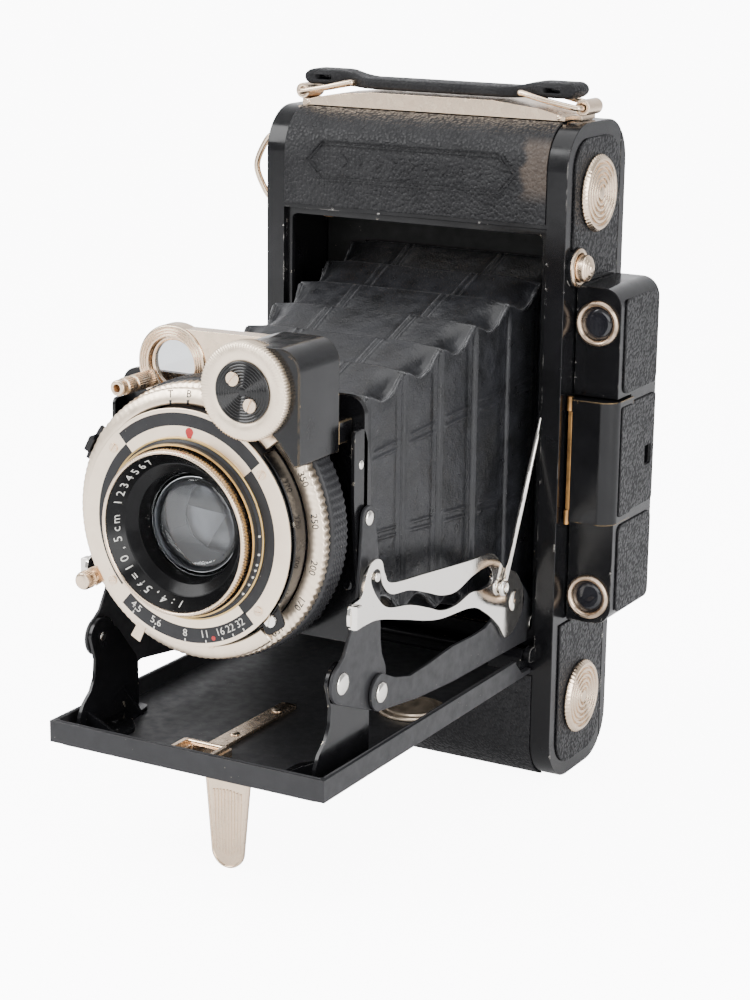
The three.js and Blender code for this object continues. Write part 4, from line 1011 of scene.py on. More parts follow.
def build_strap():
    """A leather grip, flat along its middle, whose ends fold back into a loop."""
    strap = Span("handle_strap")
    bm = bmesh.new()
    steps, across = 96, 18
    round_end = 2.0
    grid = []
    for i in range(steps + 1):
        t = 1 - math.cos(math.pi * min(i, steps - i) / steps)
        x = strap.x0 + (strap.x - strap.x0) * t if i <= steps / 2 else strap.x1 - (strap.x1 - strap.x) * t
        reach = abs(x - strap.x)
        low, high = strap_height(reach)
        to_end = strap.x1 - strap.x - reach
        squeeze = math.sqrt(max(0.02, 1 - max(0.0, 1 - to_end / round_end) ** 2))
        neck = hump(reach, 23.4, 3.2)
        half = (strap.y1 - strap.y0) / 2 * (1 - 0.3 * neck) * (0.8 + 0.2 * squeeze)
        centre, thick = (low + high) / 2, (high - low) / 2 * squeeze
        ring = []
        for k in range(2 * across):
            a = TAU * k / (2 * across)
            u, v = math.cos(a), math.sin(a)
            swell = 1 / max(abs(u) ** 5 + abs(v) ** 5, 1e-9) ** 0.2
            ring.append(bm.verts.new((x, strap.y + u * swell * half, centre + v * swell * thick)))
        grid.append(ring)
    bridge(bm, grid)
    bm.faces.new(grid[0])
    bm.faces.new(grid[-1])
    tunnels = []
    for sign in (1, -1):
        slot = rounded(29.0, 33.6, 169.35, 170.55, 0.55, 6)
        tunnels.append(prism(bmesh.new(), "Y", [(sign * x, z) for x, z in slot], -20, 20))
    bm = cut(bm, *tunnels)
    piece("leather_grip", bm, STRAP_LEATHER, "handle_strap", ["handle_strap"], bevel=0)


# ---------- rangefinder housing ----------
CASE_CORNER = 4.5
CASE_BACK = HOUSING.y1 - 1.4


def side_window(margin, corner):
    """The outline of the small window in the housing's side, in (y, z)."""
    return rounded(7.2 - margin, 10.6 + margin, 79.2 - margin, 83.8 + margin, corner, 3)


def build_rangefinder():
    """The housing on the right side, its windows, leathers and lid."""
    h, r = HOUSING, CASE_CORNER
    front = [(h.x0, h.z0)] + arc(h.x1 - r, h.z0 + r, r, -90, 0, 10) + arc(h.x1 - r, h.z1 - r, r, 0, 90, 10)
    front.append((h.x0, h.z1))
    case = prism(bmesh.new(), "Y", front, h.y0, CASE_BACK)
    round_edges(case, 1.0, h.x0 + 0.2)
    notch = slab(x0=h.x0 - 2, y1=COVER.y1 + COVER_GAP, z0=COVER.z0 - COVER_GAP, z1=COVER.z1 + COVER_GAP)
    hollow = slab(h.x0 + 1.2, h.x1 - 1.4, -5, CASE_BACK, COVER.z0 + 1.5, COVER.z1 - 1.5)
    tools = [prism(bmesh.new(), "X", side_window(0, 0.4), 51.2, 60)]
    tools += [drill("Y", WINDOW_X, z, 4.4, -12, -6) for _, z in WINDOWS]
    case = cut(case, notch, hollow, *tools)
    piece("rangefinder_case", case, BODY_ENAMEL, "body", ["rangefinder_housing"], bevel=0.14)
    build_eyepieces()
    build_windows()
    inset = 2.6
    panels = (("upper", 99.4, h.z1 - inset), ("middle", 69.6, 96.6), ("lower", h.z0 + inset, 66.8))
    for name, z0, z1 in panels:
        middle = name == "middle"
        y0, corner = (COVER.y1 + 0.6, 0.8) if middle else (h.y0 + inset, 2.0)
        area = rounded(y0, CASE_BACK - 0.8, z0, z1, corner)
        holes = [side_window(0.2, 0.4)] if middle else []
        bm = prism(bmesh.new(), "X", area, h.x1 - 0.02, h.x1 + 0.45, holes)
        piece(f"rangefinder_leather_{name}", bm, LEATHER, "body", bevel=0.16)
    bm = prism(bmesh.new(), "X", side_window(-0.1, 0.3), h.x1 - 1.5, h.x1 - 1.2)
    piece("side_window_glass", bm, DARK_GLASS, "body", bevel=0.05)
    build_finder_cover()


def build_eyepieces():
    """The rangefinder's eyepiece and the viewfinder's, on the back of the housing."""
    bore, root, end = 2.6, CASE_BACK - 1, HOUSING.y1
    bm = lathe(bmesh.new(), "Y", EYEPIECE, [
        (bore, root), (4.6, root), (4.6, end - 0.2), (4.3, end), (bore, end), (2.3, end - 0.6),
    ], 64)
    low_end = CASE_BACK + 0.7
    lathe(bm, "Y", FINDER_EYE, [
        (bore, root), (3.8, root), (3.8, CASE_BACK + 0.5), (3.5, low_end), (2.7, low_end),
    ], 64)
    piece("eyepiece_trim", bm, NICKEL, "body", bevel=0.08)
    bm = bmesh.new()
    for eye, lift in ((EYEPIECE, 0.1), (FINDER_EYE, -0.1)):
        prism(bm, "Y", circle(*eye, 2.7, 40), CASE_BACK + lift, CASE_BACK + lift + 0.4)
    piece("eyepiece_glass", bm, DARK_GLASS, "body", bevel=0.05)


def build_windows():
    """The two round windows on the front of the housing."""
    y = Span("rangefinder_window_top").y0
    root = HOUSING.y0
    for name, z in WINDOWS:
        bm = lathe(bmesh.new(), "Y", (WINDOW_X, z), [
            (5.5, root + 0.05), (5.5, y + 0.5), (5.2, y + 0.1), (4.8, y), (4.45, y + 0.15), (4.1, y + 0.6),
            (3.95, y + 1.6), (3.95, root + 0.6),
        ], 96)
        piece(f"window_bezel_{name}", bm, AGED_NICKEL, "body", bevel=0.06)
        # the pane is painted nearly black, as painted shade of the housing behind the glass
        pane = [(0, y + 1.0), (2.6, y + 1.08), (4.05, y + 1.25), (4.05, y + 1.7), (0, y + 1.7)]
        bm = lathe(bmesh.new(), "Y", (WINDOW_X, z), pane, 64)
        piece(f"window_pane_{name}", bm, DARK_GLASS, "body", [f"rangefinder_window_{name}"], bevel=0)


def build_finder_cover():
    """The hinged lid over the viewfinder."""
    c, r = COVER, 4
    outline = [(c.x0, c.y1), (c.x0, c.y0)] + arc(c.x1 - r, c.y0 + r, r, -90, 0, 12) + [(c.x1, c.y1)]
    solid = prism(bmesh.new(), "Z", outline, c.z0, c.z1)
    round_edges(solid, 0.7)
    room = block(bmesh.new(), c.x0 + 1.2, c.x1 - 2.8, c.y0 + 2.6, c.y1 + 1, c.z0 + 1.2, c.z1 - 1.2)
    solid = cut(solid, room)
    piece("finder_lid", solid, BRASSED, "finder_cover", ["finder_cover"], bevel=0.12)
    area = rounded(c.y0 + 4.4, c.y1 - 0.5, c.z0 + 1.6, c.z1 - 1.6, 0.8)
    bm = prism(bmesh.new(), "X", area, c.x1 - 0.02, c.x1 + 0.35)
    piece("finder_lid_leather", bm, LEATHER, "finder_cover", bevel=0.14)
    bm = bmesh.new()
    for z in (c.z0 + 1.1, c.z1 - 1.1):
        tube(bm, [(c.x0 + 0.3, c.y0 + 0.2, z - 1.8), (c.x0 + 0.3, c.y0 + 0.2, z + 1.8)], 0.7)
    block(bm, c.x0 + 0.1, c.x0 + 1.1, c.y0 - 0.12, c.y0 + 0.4, c.z0 + 3, c.z1 - 3)
    piece("finder_lid_hinge", bm, WORN_BRASS, "finder_cover", bevel=0.1)


# ---------- bed ----------
def bracket_outline():
    """The bed bracket that carries the foot of a leg, in (y, z)."""
    rear = [(-113.0, 30.3), (-90, 30.3), (-90, 41.5), (-91, 43.5), (-98.2, 52.2)]
    front = [(-106.6, 46.5), (-107.0, 42.5), (-108.6, 39.6), (-111.4, 37.3), (-113.0, 34.6)]
    return rear + arc(*LEG_FOOT, 4.6, 12, 171, 14) + front


def build_bed():
    """The bed's tray and everything fixed to it."""
    b = BED
    half = b.x1
    floor = slab(-half, half, b.y0, BED_BACK, BED_UNDER, BED_RIM)
    over = BED_RIM + 1
    slope = [(-25.3, over), (-25.3, BED_RIM - 0.8), (-21.8, BED_FLOOR), (-10, BED_FLOOR), (-10, over)]
    ramp = prism(bmesh.new(), "X", slope, -60, 60)
    tray = prism(bmesh.new(), "Z", rounded(-half + 1.3, half - 1.3, b.y0 + 1.4, 10, 1.2), BED_FLOOR, 60)
    bush = Span("tripod_bush")
    bm = cut(floor, tray, ramp, drill("Z", bush.x, bush.y, BUSH_HOLE, 20, 40))
    piece("bed_pan", bm, SATIN, "bed", ["bed_plate"], bevel=0.22)
    build_bed_fittings()
    build_bed_leather(bush)
    build_tripod_bush(bush)
    build_catch()
    build_foot()


def build_bed_leather(bush):
    """The leather under the bed, sloped towards its rim."""
    b = BED
    half = b.x1
    low = (-half + 6, half - 6, b.y0 + 6, -25.2)
    high = (-half + 1.2, half - 1.2, b.y0 + 1.2, -20.7)
    bm = bmesh.new()
    outlines = []
    for (x0, x1, y0, y1), z, r in ((low, 26.6, 2.5), (high, 28.7, 2.0), (high, 29.25, 2.0)):
        outlines.append([bm.verts.new((x, y, z)) for x, y in rounded(x0, x1, y0, y1, r, 4)])
    bridge(bm, outlines)
    bm.faces.new(outlines[0])
    bm.faces.new(outlines[-1])
    well = drill("Z", bush.x, bush.y, BUSH_HOLE, 20, 40)
    piece("bed_cover_leather", cut(bm, well), LEATHER, "bed", ["bed_leather"], bevel=0.3)


def build_tripod_bush(bush):
    """The screw bush in the bed: a rim inside and a threaded bore."""
    bm = lathe(bmesh.new(), "Z", (bush.x, bush.y), [
        (3.1, 30.8), (5.5, 30.5), (8.1, 30.5), (8.1, 31.0), (7.7, 31.3), (6.6, 31.35), (6.3, 31.7),
        (5.2, 31.75), (4.9, 31.55),
        (0, 31.55), (0, 30.8),
    ], 96)
    threads = [(5.5, 31.2), (5.5, 26.5), (5.2, 26.2), (3.5, 26.2)]
    for i in range(7):
        threads += [(3.1, 26.6 + i * 0.6), (3.35, 26.9 + i * 0.6)]
    lathe(bm, "Z", (bush.x, bush.y), threads + [(3.1, 30.9), (4, 31.2)], 64)
    piece("tripod_thread", bm, SATIN_NICKEL, "bed", ["tripod_bush"], bevel=0.08)


def build_bed_fittings():
    """Side brackets, hinge knuckles and their rivets."""
    half = BED.x1
    for name, sign in SIDES:
        bm = prism(bmesh.new(), "X", bracket_outline(), *BRACKET_PLATE, [circle(*LEG_FOOT, 1.2, 24)])
        foot_plate = [(21.5, -113.2), (31.2, -113.2), (31.2, -90), (27.5, -90), (26, -99), (21.5, -104)]
        prism(bm, "Z", soften(foot_plate, 1.5), BED_FLOOR, 31.4)
        gusset = [(25.2, 31.2), (30.6, 31.2), (30.6, 37.2)]
        prism(bm, "Y", gusset, -96.2, -95.4)
        prism(bm, "Y", [(22, 31.2), (30.6, 31.2), (30.6, 35.5), (26, 33.4)], -110.6, -109.8)
        knuckle = [
            (-21.4, BED_FLOOR - 0.3), (-17.2, 30), (-16.9, 33), (-17.4, 35.2), (-19.2, 35.4), (-20.2, 34)
        ]
        prism(bm, "X", soften(knuckle, 0.5), 26, 34.5, [circle(*HINGE, 1.1, 20)])
        for u, v in ((24.5, -108.6), (28.0, -103.4), (29.2, -93.4)):
            rivet(bm, "Z", (u, v), 31.35, 1, 1.1, 0.45)
        if sign < 0:
            mirrored(bm)
        piece(f"bed_bracket_{name}", bm, ENAMEL, "bed", bevel=0.12)
    bm = bmesh.new()
    for sign in (1, -1):
        x = sign * (half - 1.0)
        tube(bm, [(x, BED.y0 + 2, BED_RIM - 0.1), (x, -25.6, BED_RIM - 0.1)], 0.28, 10)
    tube(
        bm, [(-half + 1.2, BED.y0 + 0.9, BED_RIM - 0.1), (half - 1.2, BED.y0 + 0.9, BED_RIM - 0.1)], 0.28,
        10,
    )
    piece("bed_rim_bead", bm, SATIN, "bed", bevel=0)


def build_catch():
    """The bed's catch: a leaf spring that ends in a small frame."""
    bm = bmesh.new()
    leaf = soften([(-2.2, -72), (2.2, -72), (2.2, -106.2), (-2.2, -106.2)], 1.2)
    prism(bm, "Z", leaf, BED_FLOOR + 0.1, 31.3)
    frame_outline = soften([(-6, -115.8), (6, -115.8), (6, -106), (-6, -106)], 0.8)
    opening = soften([(-3.2, -113.8), (3.2, -113.8), (3.2, -108.4), (-3.2, -108.4)], 0.6)
    prism(bm, "Z", frame_outline, BED_FLOOR + 0.1, 32.2, [opening])
    cheek = soften([(-115.4, 32), (-106.6, 32), (-107.6, 33.2), (-114, 33.2)], 0.5)
    for sign in (1, -1):
        prism(bm, "X", cheek, *sorted((sign * 4.6, sign * 5.6)))
        rivet(bm, "Z", (sign * 4.4, -114.4), 32.1, 1, 0.8, 0.35)
    tube(bm, [(-5.4, -107.6, 32.6), (5.4, -107.6, 32.6)], 0.55)
    for y in (-78, -96):
        rivet(bm, "Z", (0, y), 31.25, 1, 1.2, 0.5)
    piece("bed_catch_spring", bm, NICKEL, "bed", ["bed_catch"], bevel=0.1)


def build_foot():
    """The fold-out foot: a fluted tongue on a three-knuckle hinge."""
    y, z_top = Span("bed_foot").y, 24.2
    half_top, half_tip = 5.9, 4.3
    shoulder = z_top - 3
    outline = [(half_top, z_top + 0.2), (-half_top, z_top + 0.2), (-half_top, shoulder)]
    outline += arc(0, half_tip, half_tip, 180, 360, 24) + [(half_top, shoulder)]
    bm = prism(bmesh.new(), "Y", outline, y - 0.35, y + 0.5)
    pitch, flare = 0.8, 1.12
    for i in range(-4, 5):
        x = i * pitch
        low = 3.0 + abs(i) * 0.28
        high = 18.5 + 0.5 * math.cos(i * 0.35)
        tube(bm, [(x, y - 0.3, low), (x * flare, y - 0.42, high)], 0.27, 8)
    inside = 0.93  # the rim's share of the tongue's width
    rim = [(half_top * inside, shoulder), (half_tip * inside, half_tip)]
    rim += arc(0, half_tip, half_tip * inside, 0, -180, 16)[1:] + [(-half_top * inside, shoulder)]
    tube(bm, [(u, y - 0.3, v) for u, v in rim], 0.32, 8)
    for x in (-4.0, 0.0, 4.0):
        tube(bm, [(x - 1.6, y, z_top), (x + 1.6, y, z_top)], 1.3, 20)
    piece("fluted_foot", bm, NICKEL, "foot", ["bed_foot"], bevel=0.14)
    bm = block(bmesh.new(), -7.4, 7.4, y - 3.4, y + 3.4, 25.8, 26.5)
    cheek = soften([(y - 1.6, 22.8), (y + 1.6, 22.8), (y + 1.6, 26), (y - 1.6, 26)], 0.8)
    for sign in (1, -1):
        prism(bm, "X", cheek, *sorted((sign * 6.2, sign * 7.4)))
        rivet(bm, "X", (y, z_top), sign * 7.35, sign, 0.9, 0.35)
    piece("foot_hinge", bm, NICKEL, "bed", bevel=0.12)


# ---------- folding gear ----------
RIVET_SINK = 0.05  # how deep a rivet's head sits in the plate it holds


def leg_plate():
    """The bent leg between the bed and the lens board."""
    fy, fz = LEG_FOOT
    cy, cz = LEG_CRANK
    hy, hz = LEG_HEAD
    points = arc(hy, hz, 2.7, 4, 176, 14) + [(-96.4, 76), (-97.6, 68), (-100.4, 61.4), (-103.0, 57.2)]
    points += arc(fy, fz, 4.6, 108, 243, 14) + arc(cy, cz, 4.3, 243, 353, 12)
    points += [(-84.6, 50), (-86.4, 53.4), (-87, 56.5), (-87.4, 66), (-88.6, 78)]
    return prism(bmesh.new(), "X", points, *LEG_LAYER)


def strut_plate():
    """The strut between the leg's crank and the body."""
    points = arc(*LEG_CRANK, 4.3, 81, 270, 16) + [(-72, 38.6), (-54.3, 37.4), (-30, 36.9)]
    points += arc(*STRUT_PIVOT, 4, -99, 72, 12) + arc(*LOCK_PIVOT, 6.2, 45, 171, 12)
    points += [
        (-33.6, 47.4), (-38, 46.0), (-43.6, 45.8), (-54, 46.2), (-66.5, 45.3), (-75, 45.0), (-82, 46.7)
    ]
    return prism(bmesh.new(), "X", points, *STRUT_LAYER)


def lever_plate():
    """The chromed lock lever with its curved slot."""
    outline = smooth_loop([
        (-104, 68.9), (-99.6, 70.2), (-97.4, 74.6), (-94.4, 76.9), (-91, 76), (-89.4, 72.6), (-86, 69.8),
        (-70, 67.9),
        (-50, 65.7), (-37.2, 64.4), (-31, 59.4), (-23.5, 56), (-19.4, 49), (-22.5, 43.5), (-28.6, 41.2),
        (-33.4, 45.8),
        (-40.3, 50.6), (-48, 53.9), (-64.8, 55.6), (-81, 60), (-93, 63.1), (-103.4, 63.6),
    ], 7)
    slot = smooth_loop([
        (-95.6, 72.4), (-94.2, 74.6), (-91.8, 74), (-90.4, 70.4), (-86.4, 67.3), (-78, 66), (-69.8, 63.3),
        (-62.7, 60.8),
        (-55.5, 59.9), (-47, 61.6), (-39, 61.6), (-37, 57.6), (-42, 56.8), (-48.1, 57.6), (-55.4, 56.6),
        (-62.6, 57.2),
        (-69.7, 59.8), (-78, 62.6), (-87.7, 64.6), (-92.4, 67.8),
    ], 6)
    return prism(bmesh.new(), "X", outline, *LEVER_LAYER, [slot])


def pin(bm, centre, r, start, stop):
    """A plain pin across the gear's layers."""
    return lathe(bm, "X", centre, [(0, start), (r, start), (r, stop), (0, stop)], 24)


def leg_rivets():
    """The leg's two rivets, the pin at its foot and the stud that rides in the lock lever's slot."""
    bm = bmesh.new()
    seat = LEG_LAYER[1] - RIVET_SINK
    for centre, r in ((LEG_FOOT, 2.5), (LEG_HEAD, 1.7)):
        rivet(bm, "X", centre, seat, 1, r, 0.75)
    pin(bm, LEG_FOOT, 1.1, BRACKET_PLATE[0] - 0.1, LEG_LAYER[1])
    rivet(bm, "X", LEG_STUD, seat, 1, 1.6, 1.2)
    end = 35.2
    stud = [(0, STRUT_LAYER[1]), (1.05, STRUT_LAYER[1]), (1.05, end - 0.2), (0.9, end), (0, end)]
    return lathe(bm, "X", LEG_STUD, stud, 32)


def strut_rivets():
    """The strut's two rivets."""
    seat = STRUT_LAYER[1] - RIVET_SINK
    bm = rivet(bmesh.new(), "X", LEG_CRANK, seat, 1, 2.4, 0.8)
    return rivet(bm, "X", STRUT_PIVOT, seat, 1, 2.2, 0.7)


def lever_fittings():
    """The lock lever's pivot and its bent finger tab."""
    bm = rivet(bmesh.new(), "X", LOCK_PIVOT, LEVER_LAYER[1] - RIVET_SINK, 1, 2.7, 0.6)
    pin(bm, LOCK_PIVOT, 1.1, 32.7, LEVER_LAYER[1])
    tab = soften([(33.8, 63.9), (36.0, 63.9), (36.0, 69.2), (33.8, 69.2)], 0.5)
    return prism(bm, "Y", tab, -104.1, -101.9)


def tension_rod():
    """A wire rod with an eye at each end."""
    eye, steps = 1.5, 24
    ends = [(ROD_X, ROD_TOP[0] - 0.6, ROD_TOP[1] - 1.8), (ROD_X, ROD_END[0] + 0.6, ROD_END[1] + 1.8)]
    bm = tube(bmesh.new(), ends, 0.6, 20)
    for centre in (ROD_TOP, ROD_END):
        tube(bm, [(ROD_X, y, z) for y, z in circle(*centre, eye, steps)], 0.55, 12, True)
    return bm


def build_gear():
    """The folding gear, drawn for the right side and mirrored to the left."""
    for name, sign in SIDES:
        for title, make, look, node, slot, bevel, whole in (
            ("leg_plate", leg_plate, SATIN, "leg", "black_enamel", 0.16, True),
            ("leg_rivets", leg_rivets, CHROME, "leg", "nickel", 0.06, False),
            ("strut_plate", strut_plate, SATIN, "strut", "black_enamel", 0.16, True),
            ("strut_rivets", strut_rivets, CHROME, "strut", "nickel", 0.06, False),
            ("lever_plate", lever_plate, CHROME, "lock_lever", "chrome", 0.2, True),
            ("lever_fittings", lever_fittings, CHROME, "lock_lever", "chrome", 0.12, False),
            ("tension_rod", tension_rod, CHROME, "spring_rod", "chrome", 0, True),
        ):
            bm = make() if sign > 0 else mirrored(make())
            node = f"{node}_{name}"
            piece(f"{title}_{name}", bm, look, node, [node] if whole else (), bevel)


# ---------- shutter and lens ----------
def lens_ring(bm, profile, steps=120, ripple=None):
    """Turns a profile about the lens axis."""
    return lathe(bm, "Y", (0.0, LENS_Z), profile, steps, ripple)


def band(bm, outer, inner, start, stop, front, back, steps=None):
    """A sector of a flat ring about the lens axis, between two angles in degrees."""
    degrees_per_step, fewest = 3, 6
    count = steps or max(fewest, int(abs(stop - start) / degrees_per_step))
    points = arc(0, LENS_Z, outer, start, stop, count) + arc(0, LENS_Z, inner, stop, start, count)
    return prism(bm, "Y", points, front, back)


def dial_text(bm, words, size, radius, degrees, y, toward_centre=False, lean=0.0):
    """Numbers on a face that looks along -Y. lean tilts them as on a bevelled ring."""
    a = math.radians(degrees)
    out = Vector((math.cos(a), 0, math.sin(a)))
    up = -out if toward_centre else out
    up = (up + Vector((0, lean, 0))).normalized()
    face = Vector((0, -1, 0))
    right = up.cross(face)
    x, z = polar(radius, degrees)
    return lettering(bm, words, size, (x, y, z), right, up)


def build_shutter():
    """The shutter's drum and its face with the aperture scale."""
    case = Span("shutter_case")
    front = Span("shutter_front_plate")
    f = front.y0
    bm = lens_ring(bmesh.new(), [
        (13.2, case.y1), (14.6, case.y1), (14.6, -93.5), (24, -93.5), (24, -99.4), (25.9, -99.4),
        (25.9, -112.6), (25.6, -114.1), (13.2, -114.1),
    ])
    piece("shutter_drum", bm, DIAL_BLACK, "standard", ["shutter_case"], bevel=0.15)
    bm = lens_ring(
        bmesh.new(),
        [(18.7, front.y1), (25.7, front.y1), (26.1, front.y1 - 0.1), (26.1, f + 0.1), (25.75, f), (18.7, f)],
    )
    piece("shutter_face", bm, SATIN_NICKEL, "standard", ["shutter_front_plate"], bevel=0.05)
    bm = bmesh.new()
    for start, outer, inner in ((42, 25.2, 22.4), (-48, 22.4, 19.1), (132, 22.4, 19.1)):
        band(bm, outer, inner, start, start + 90, f - 0.05, f + 0.1)
    band(bm, 25.2, 21.9, 229, 313, f - 0.05, f + 0.1)
    piece("dial_bands", bm, DIAL_BLACK, "standard", bevel=0.02)
    bm = bmesh.new()
    stops = (
        (236.5, "4,5"), (250.5, "5,6"), (269.5, "8"), (282, "11"), (292.2, "16"), (299.2, "22"),
        (306.4, "32"),
    )
    for angle, number in stops:
        dial_text(bm, number, 2.35, 23.25, angle, f - 0.07, True)
        band(bm, 25.1, 24.5, angle - 0.35, angle + 0.35, f - 0.1, f)
    piece("stop_numbers", bm, WHITE, "standard", bevel=0)
    bm = prism(bmesh.new(), "Y", circle(*polar(24.3, 287), 0.5, 24), f - 0.12, f)
    x, z = polar(20.9, 86.5)
    drop = [(x, z - 1.75)] + arc(x, z + 0.4, 0.95, -25, 205, 20)
    prism(bm, "Y", drop, f - 0.1, f)
    piece("red_marks", bm, RED, "standard", bevel=0.02)
    bm = bmesh.new()
    for angle in (37, 140, 217, 320):
        u, v = polar(23.9, angle)
        screw(bm, "Y", (u, v), f + 0.02, -1, 1.05, 0.3, angle * 1.7)
    piece("face_screws", bm, NICKEL, "standard", bevel=0.03)
    build_speed_ring()
    build_shutter_levers()


def build_speed_ring():
    """The milled ring that sets the speed, open on the side of the folding gear, and its marks."""
    ring = Span("speed_ring")
    r, bore, front = ring.x1, FRONT_RINGS_BORE, ring.y0
    bm = lens_ring(bmesh.new(), [
        (bore, ring.y1), (r - 0.2, ring.y1), (r, ring.y1 - 0.3), (r, front + 1.2), (r - 0.4, front + 0.8),
        (26.9, front), (bore, front + 0.1),
    ], 480, (r - 0.05, 0.16, 120))
    gap = [(0, LENS_Z), polar(60, -50), polar(80, -20), polar(80, 20), polar(60, 46)]
    bm = cut(bm, prism(bmesh.new(), "Y", gap, -120, -100))
    piece("speed_dial", bm, SATIN_NICKEL, "speed_ring", ["speed_ring"], bevel=0)
    skirt = band(bmesh.new(), 26.4, 25.8, -49, 45, -113.7, -109.2, 48)
    piece("drum_skirt", skirt, ENAMEL, "standard", bevel=0.4)
    bm = bmesh.new()
    slope = 0.3
    for angle, mark in ((101.5, "T"), (92.0, "B"), (80, "1"), (70, "2"), (60, "5")):
        dial_text(bm, mark, 2.3, 28.6, angle, front + 0.5, False, slope)
        for outer, inner in ((27.4, 26.9), (27.0, 26.5)):
            band(bm, outer, inner, angle - 0.5, angle + 0.5, front - 0.05, front + 0.3)
    piece("speed_marks", bm, BLACK, "speed_ring", bevel=0)


def build_shutter_levers():
    """The aperture pointer, the cocking and release levers, the cable socket and the link plate."""
    low, high = DRUM_FRONT - 0.42, DRUM_FRONT
    bm = lens_ring(bmesh.new(), [(22.5, high), (25.6, high), (25.6, low), (22.5, low)])
    band(bm, 30.4, 25.2, 240.5, 245.5, low, high)
    band(bm, 26.6, 25.2, 281.5, 284.5, low, high)
    piece("stop_pointer", bm, NICKEL, "aperture_lever", ["aperture_lever"], bevel=0.06)
    cock = Span("cocking_lever")
    x, z = polar(30.2, 210.5)
    bm = lathe(bmesh.new(), "Y", (x, z), [
        (0, -112.8), (1.3, -112.8), (1.3, -114.2), (2.1, -114.5), (2.1, -116.6), (1.8, -117.2),
        (1.2, cock.y0), (0, cock.y0 + 0.1),
    ], 120, (2.0, 0.12, 30))
    band(bm, 30.4, 26.4, 206.5, 214.5, -113.4, -112.8)
    piece("cocking_knob", bm, NICKEL, "cocking_lever", ["cocking_lever"], bevel=0.05)
    bm = band(bmesh.new(), 31.4, 26.2, 144, 160, -110.2, -109.2)
    band(bm, 31.8, 30.2, 149.5, 156, -111.6, -109.2)
    piece("release_trigger", bm, ENAMEL, "release_lever", ["release_lever"], bevel=0.2)
    socket = Span("cable_release_socket")
    x, z = polar(34, 126)
    bm = lathe(bmesh.new(), "Y", (x, z), [
        (0.9, socket.y0), (1.5, socket.y0), (1.75, socket.y0 + 0.25), (1.75, -110.2), (1.55, -109.9),
        (1.55, -109.2), (1.9, -108.9), (1.9, -106.6),
        (1.55, -106.3), (1.55, -105.6), (1.9, -105.3), (1.9, -99), (0.4, -98.9), (0.4, -104), (0.9, -104.2),
    ], 144, (1.85, 0.12, 24))
    band(bm, 35.2, 26.2, 122.5, 129.5, -99.4, -98.8)
    piece("cable_socket", bm, NICKEL, "standard", ["cable_release_socket"], bevel=0.05)
    bm = bmesh.new()
    u, v = 20.2, 66.6
    diamond = soften([(u - 3.4, v + 1.0), (u + 1.4, v + 3.9), (u + 3.6, v - 1.2), (u - 1.0, v - 4.2)], 1.2)
    prism(bm, "Y", diamond, -113.4, -112.6)
    piece("stop_link_plate", bm, ENAMEL, "standard", bevel=0.18)
    bm = screw(bmesh.new(), "Y", (u, v - 0.4), -113.35, -1, 1.45, 0.55, 75)
    piece("stop_link_screw", bm, CHROME, "standard", bevel=0.04)


def build_lens():
    """The front cell with its numbered funnel, and the glass."""
    barrel = Span("lens_barrel")
    r, f = barrel.x1, barrel.y0
    bm = lens_ring(bmesh.new(), [
        (17.12, f + 0.6), (17.3, f + 0.15), (r - 0.5, f), (r - 0.15, f + 0.3), (r, f + 0.7), (r, f + 2.6),
        (r - 0.25, f + 2.9),
        (r - 0.25, f + 4.6), (15.2, f + 4.6), (15.2, f + 6.2), (12.9, f + 6.2), (12.9, barrel.y1),
        (11.95, barrel.y1),
        (11.95, f + 10), (12.6, f + 6.1), (14.9, f + 4.4), (17.12, f + 1.0),
    ], 640, (r - 0.02, 0.2, 160))
    piece("knurled_barrel", bm, NICKEL, "front_cell", ["lens_barrel"], bevel=0)
    bm = lens_ring(bmesh.new(), [
        (17.13, f + 1.0), (17.13, f + 0.55), (14.65, f + 4.05), (14.3, f + 4.15), (12.3, f + 5.8),
        (11.75, f + 9.4), (11.7, f + 9.6),
        (11.6, f + 14), (11.94, f + 14), (11.94, f + 10), (12.6, f + 6.05), (14.9, f + 4.35),
    ])
    piece("name_ring", bm, BARREL_BLACK, "front_cell", bevel=0.05)
    bm = bmesh.new()
    pitch, funnel_slope = 8.0, -1.41
    for words, middle in (("1:4,5", 257), ("f=10,5cm", 206), ("1234567", 140)):
        for i, mark in enumerate(words):
            angle = middle - (i - (len(words) - 1) / 2) * pitch
            dial_text(bm, mark, 2.7, 15.75, angle, f + 2.42, False, funnel_slope)
    piece("lens_numbers", bm, WHITE, "front_cell", bevel=0)
    glass = Span("front_lens")
    g = glass.y0
    profile = [(0, g), (3, g + 0.08), (6, g + 0.32), (9, g + 0.73), (11.65, g + 1.2)]
    profile += [(11.65, g + 3.2), (8, g + 3.6), (4, g + 3.9), (0, glass.y1)]
    bm = lens_ring(bmesh.new(), profile, 96)
    piece("front_element", bm, GLASS, "front_cell", ["front_lens"], bevel=0)
    rear = Span("rear_lens")
    profile = [
        (0, rear.y0), (5, rear.y0 + 0.2), (9, rear.y0 + 0.55), (11.2, -96), (11.2, -93), (8, -92.7),
        (4, -92.4), (0, rear.y1),
    ]
    bm = lens_ring(bmesh.new(), profile, 96)
    piece("rear_element", bm, GLASS, "standard", ["rear_lens"], bevel=0)
    build_iris()
    build_depth_collar()


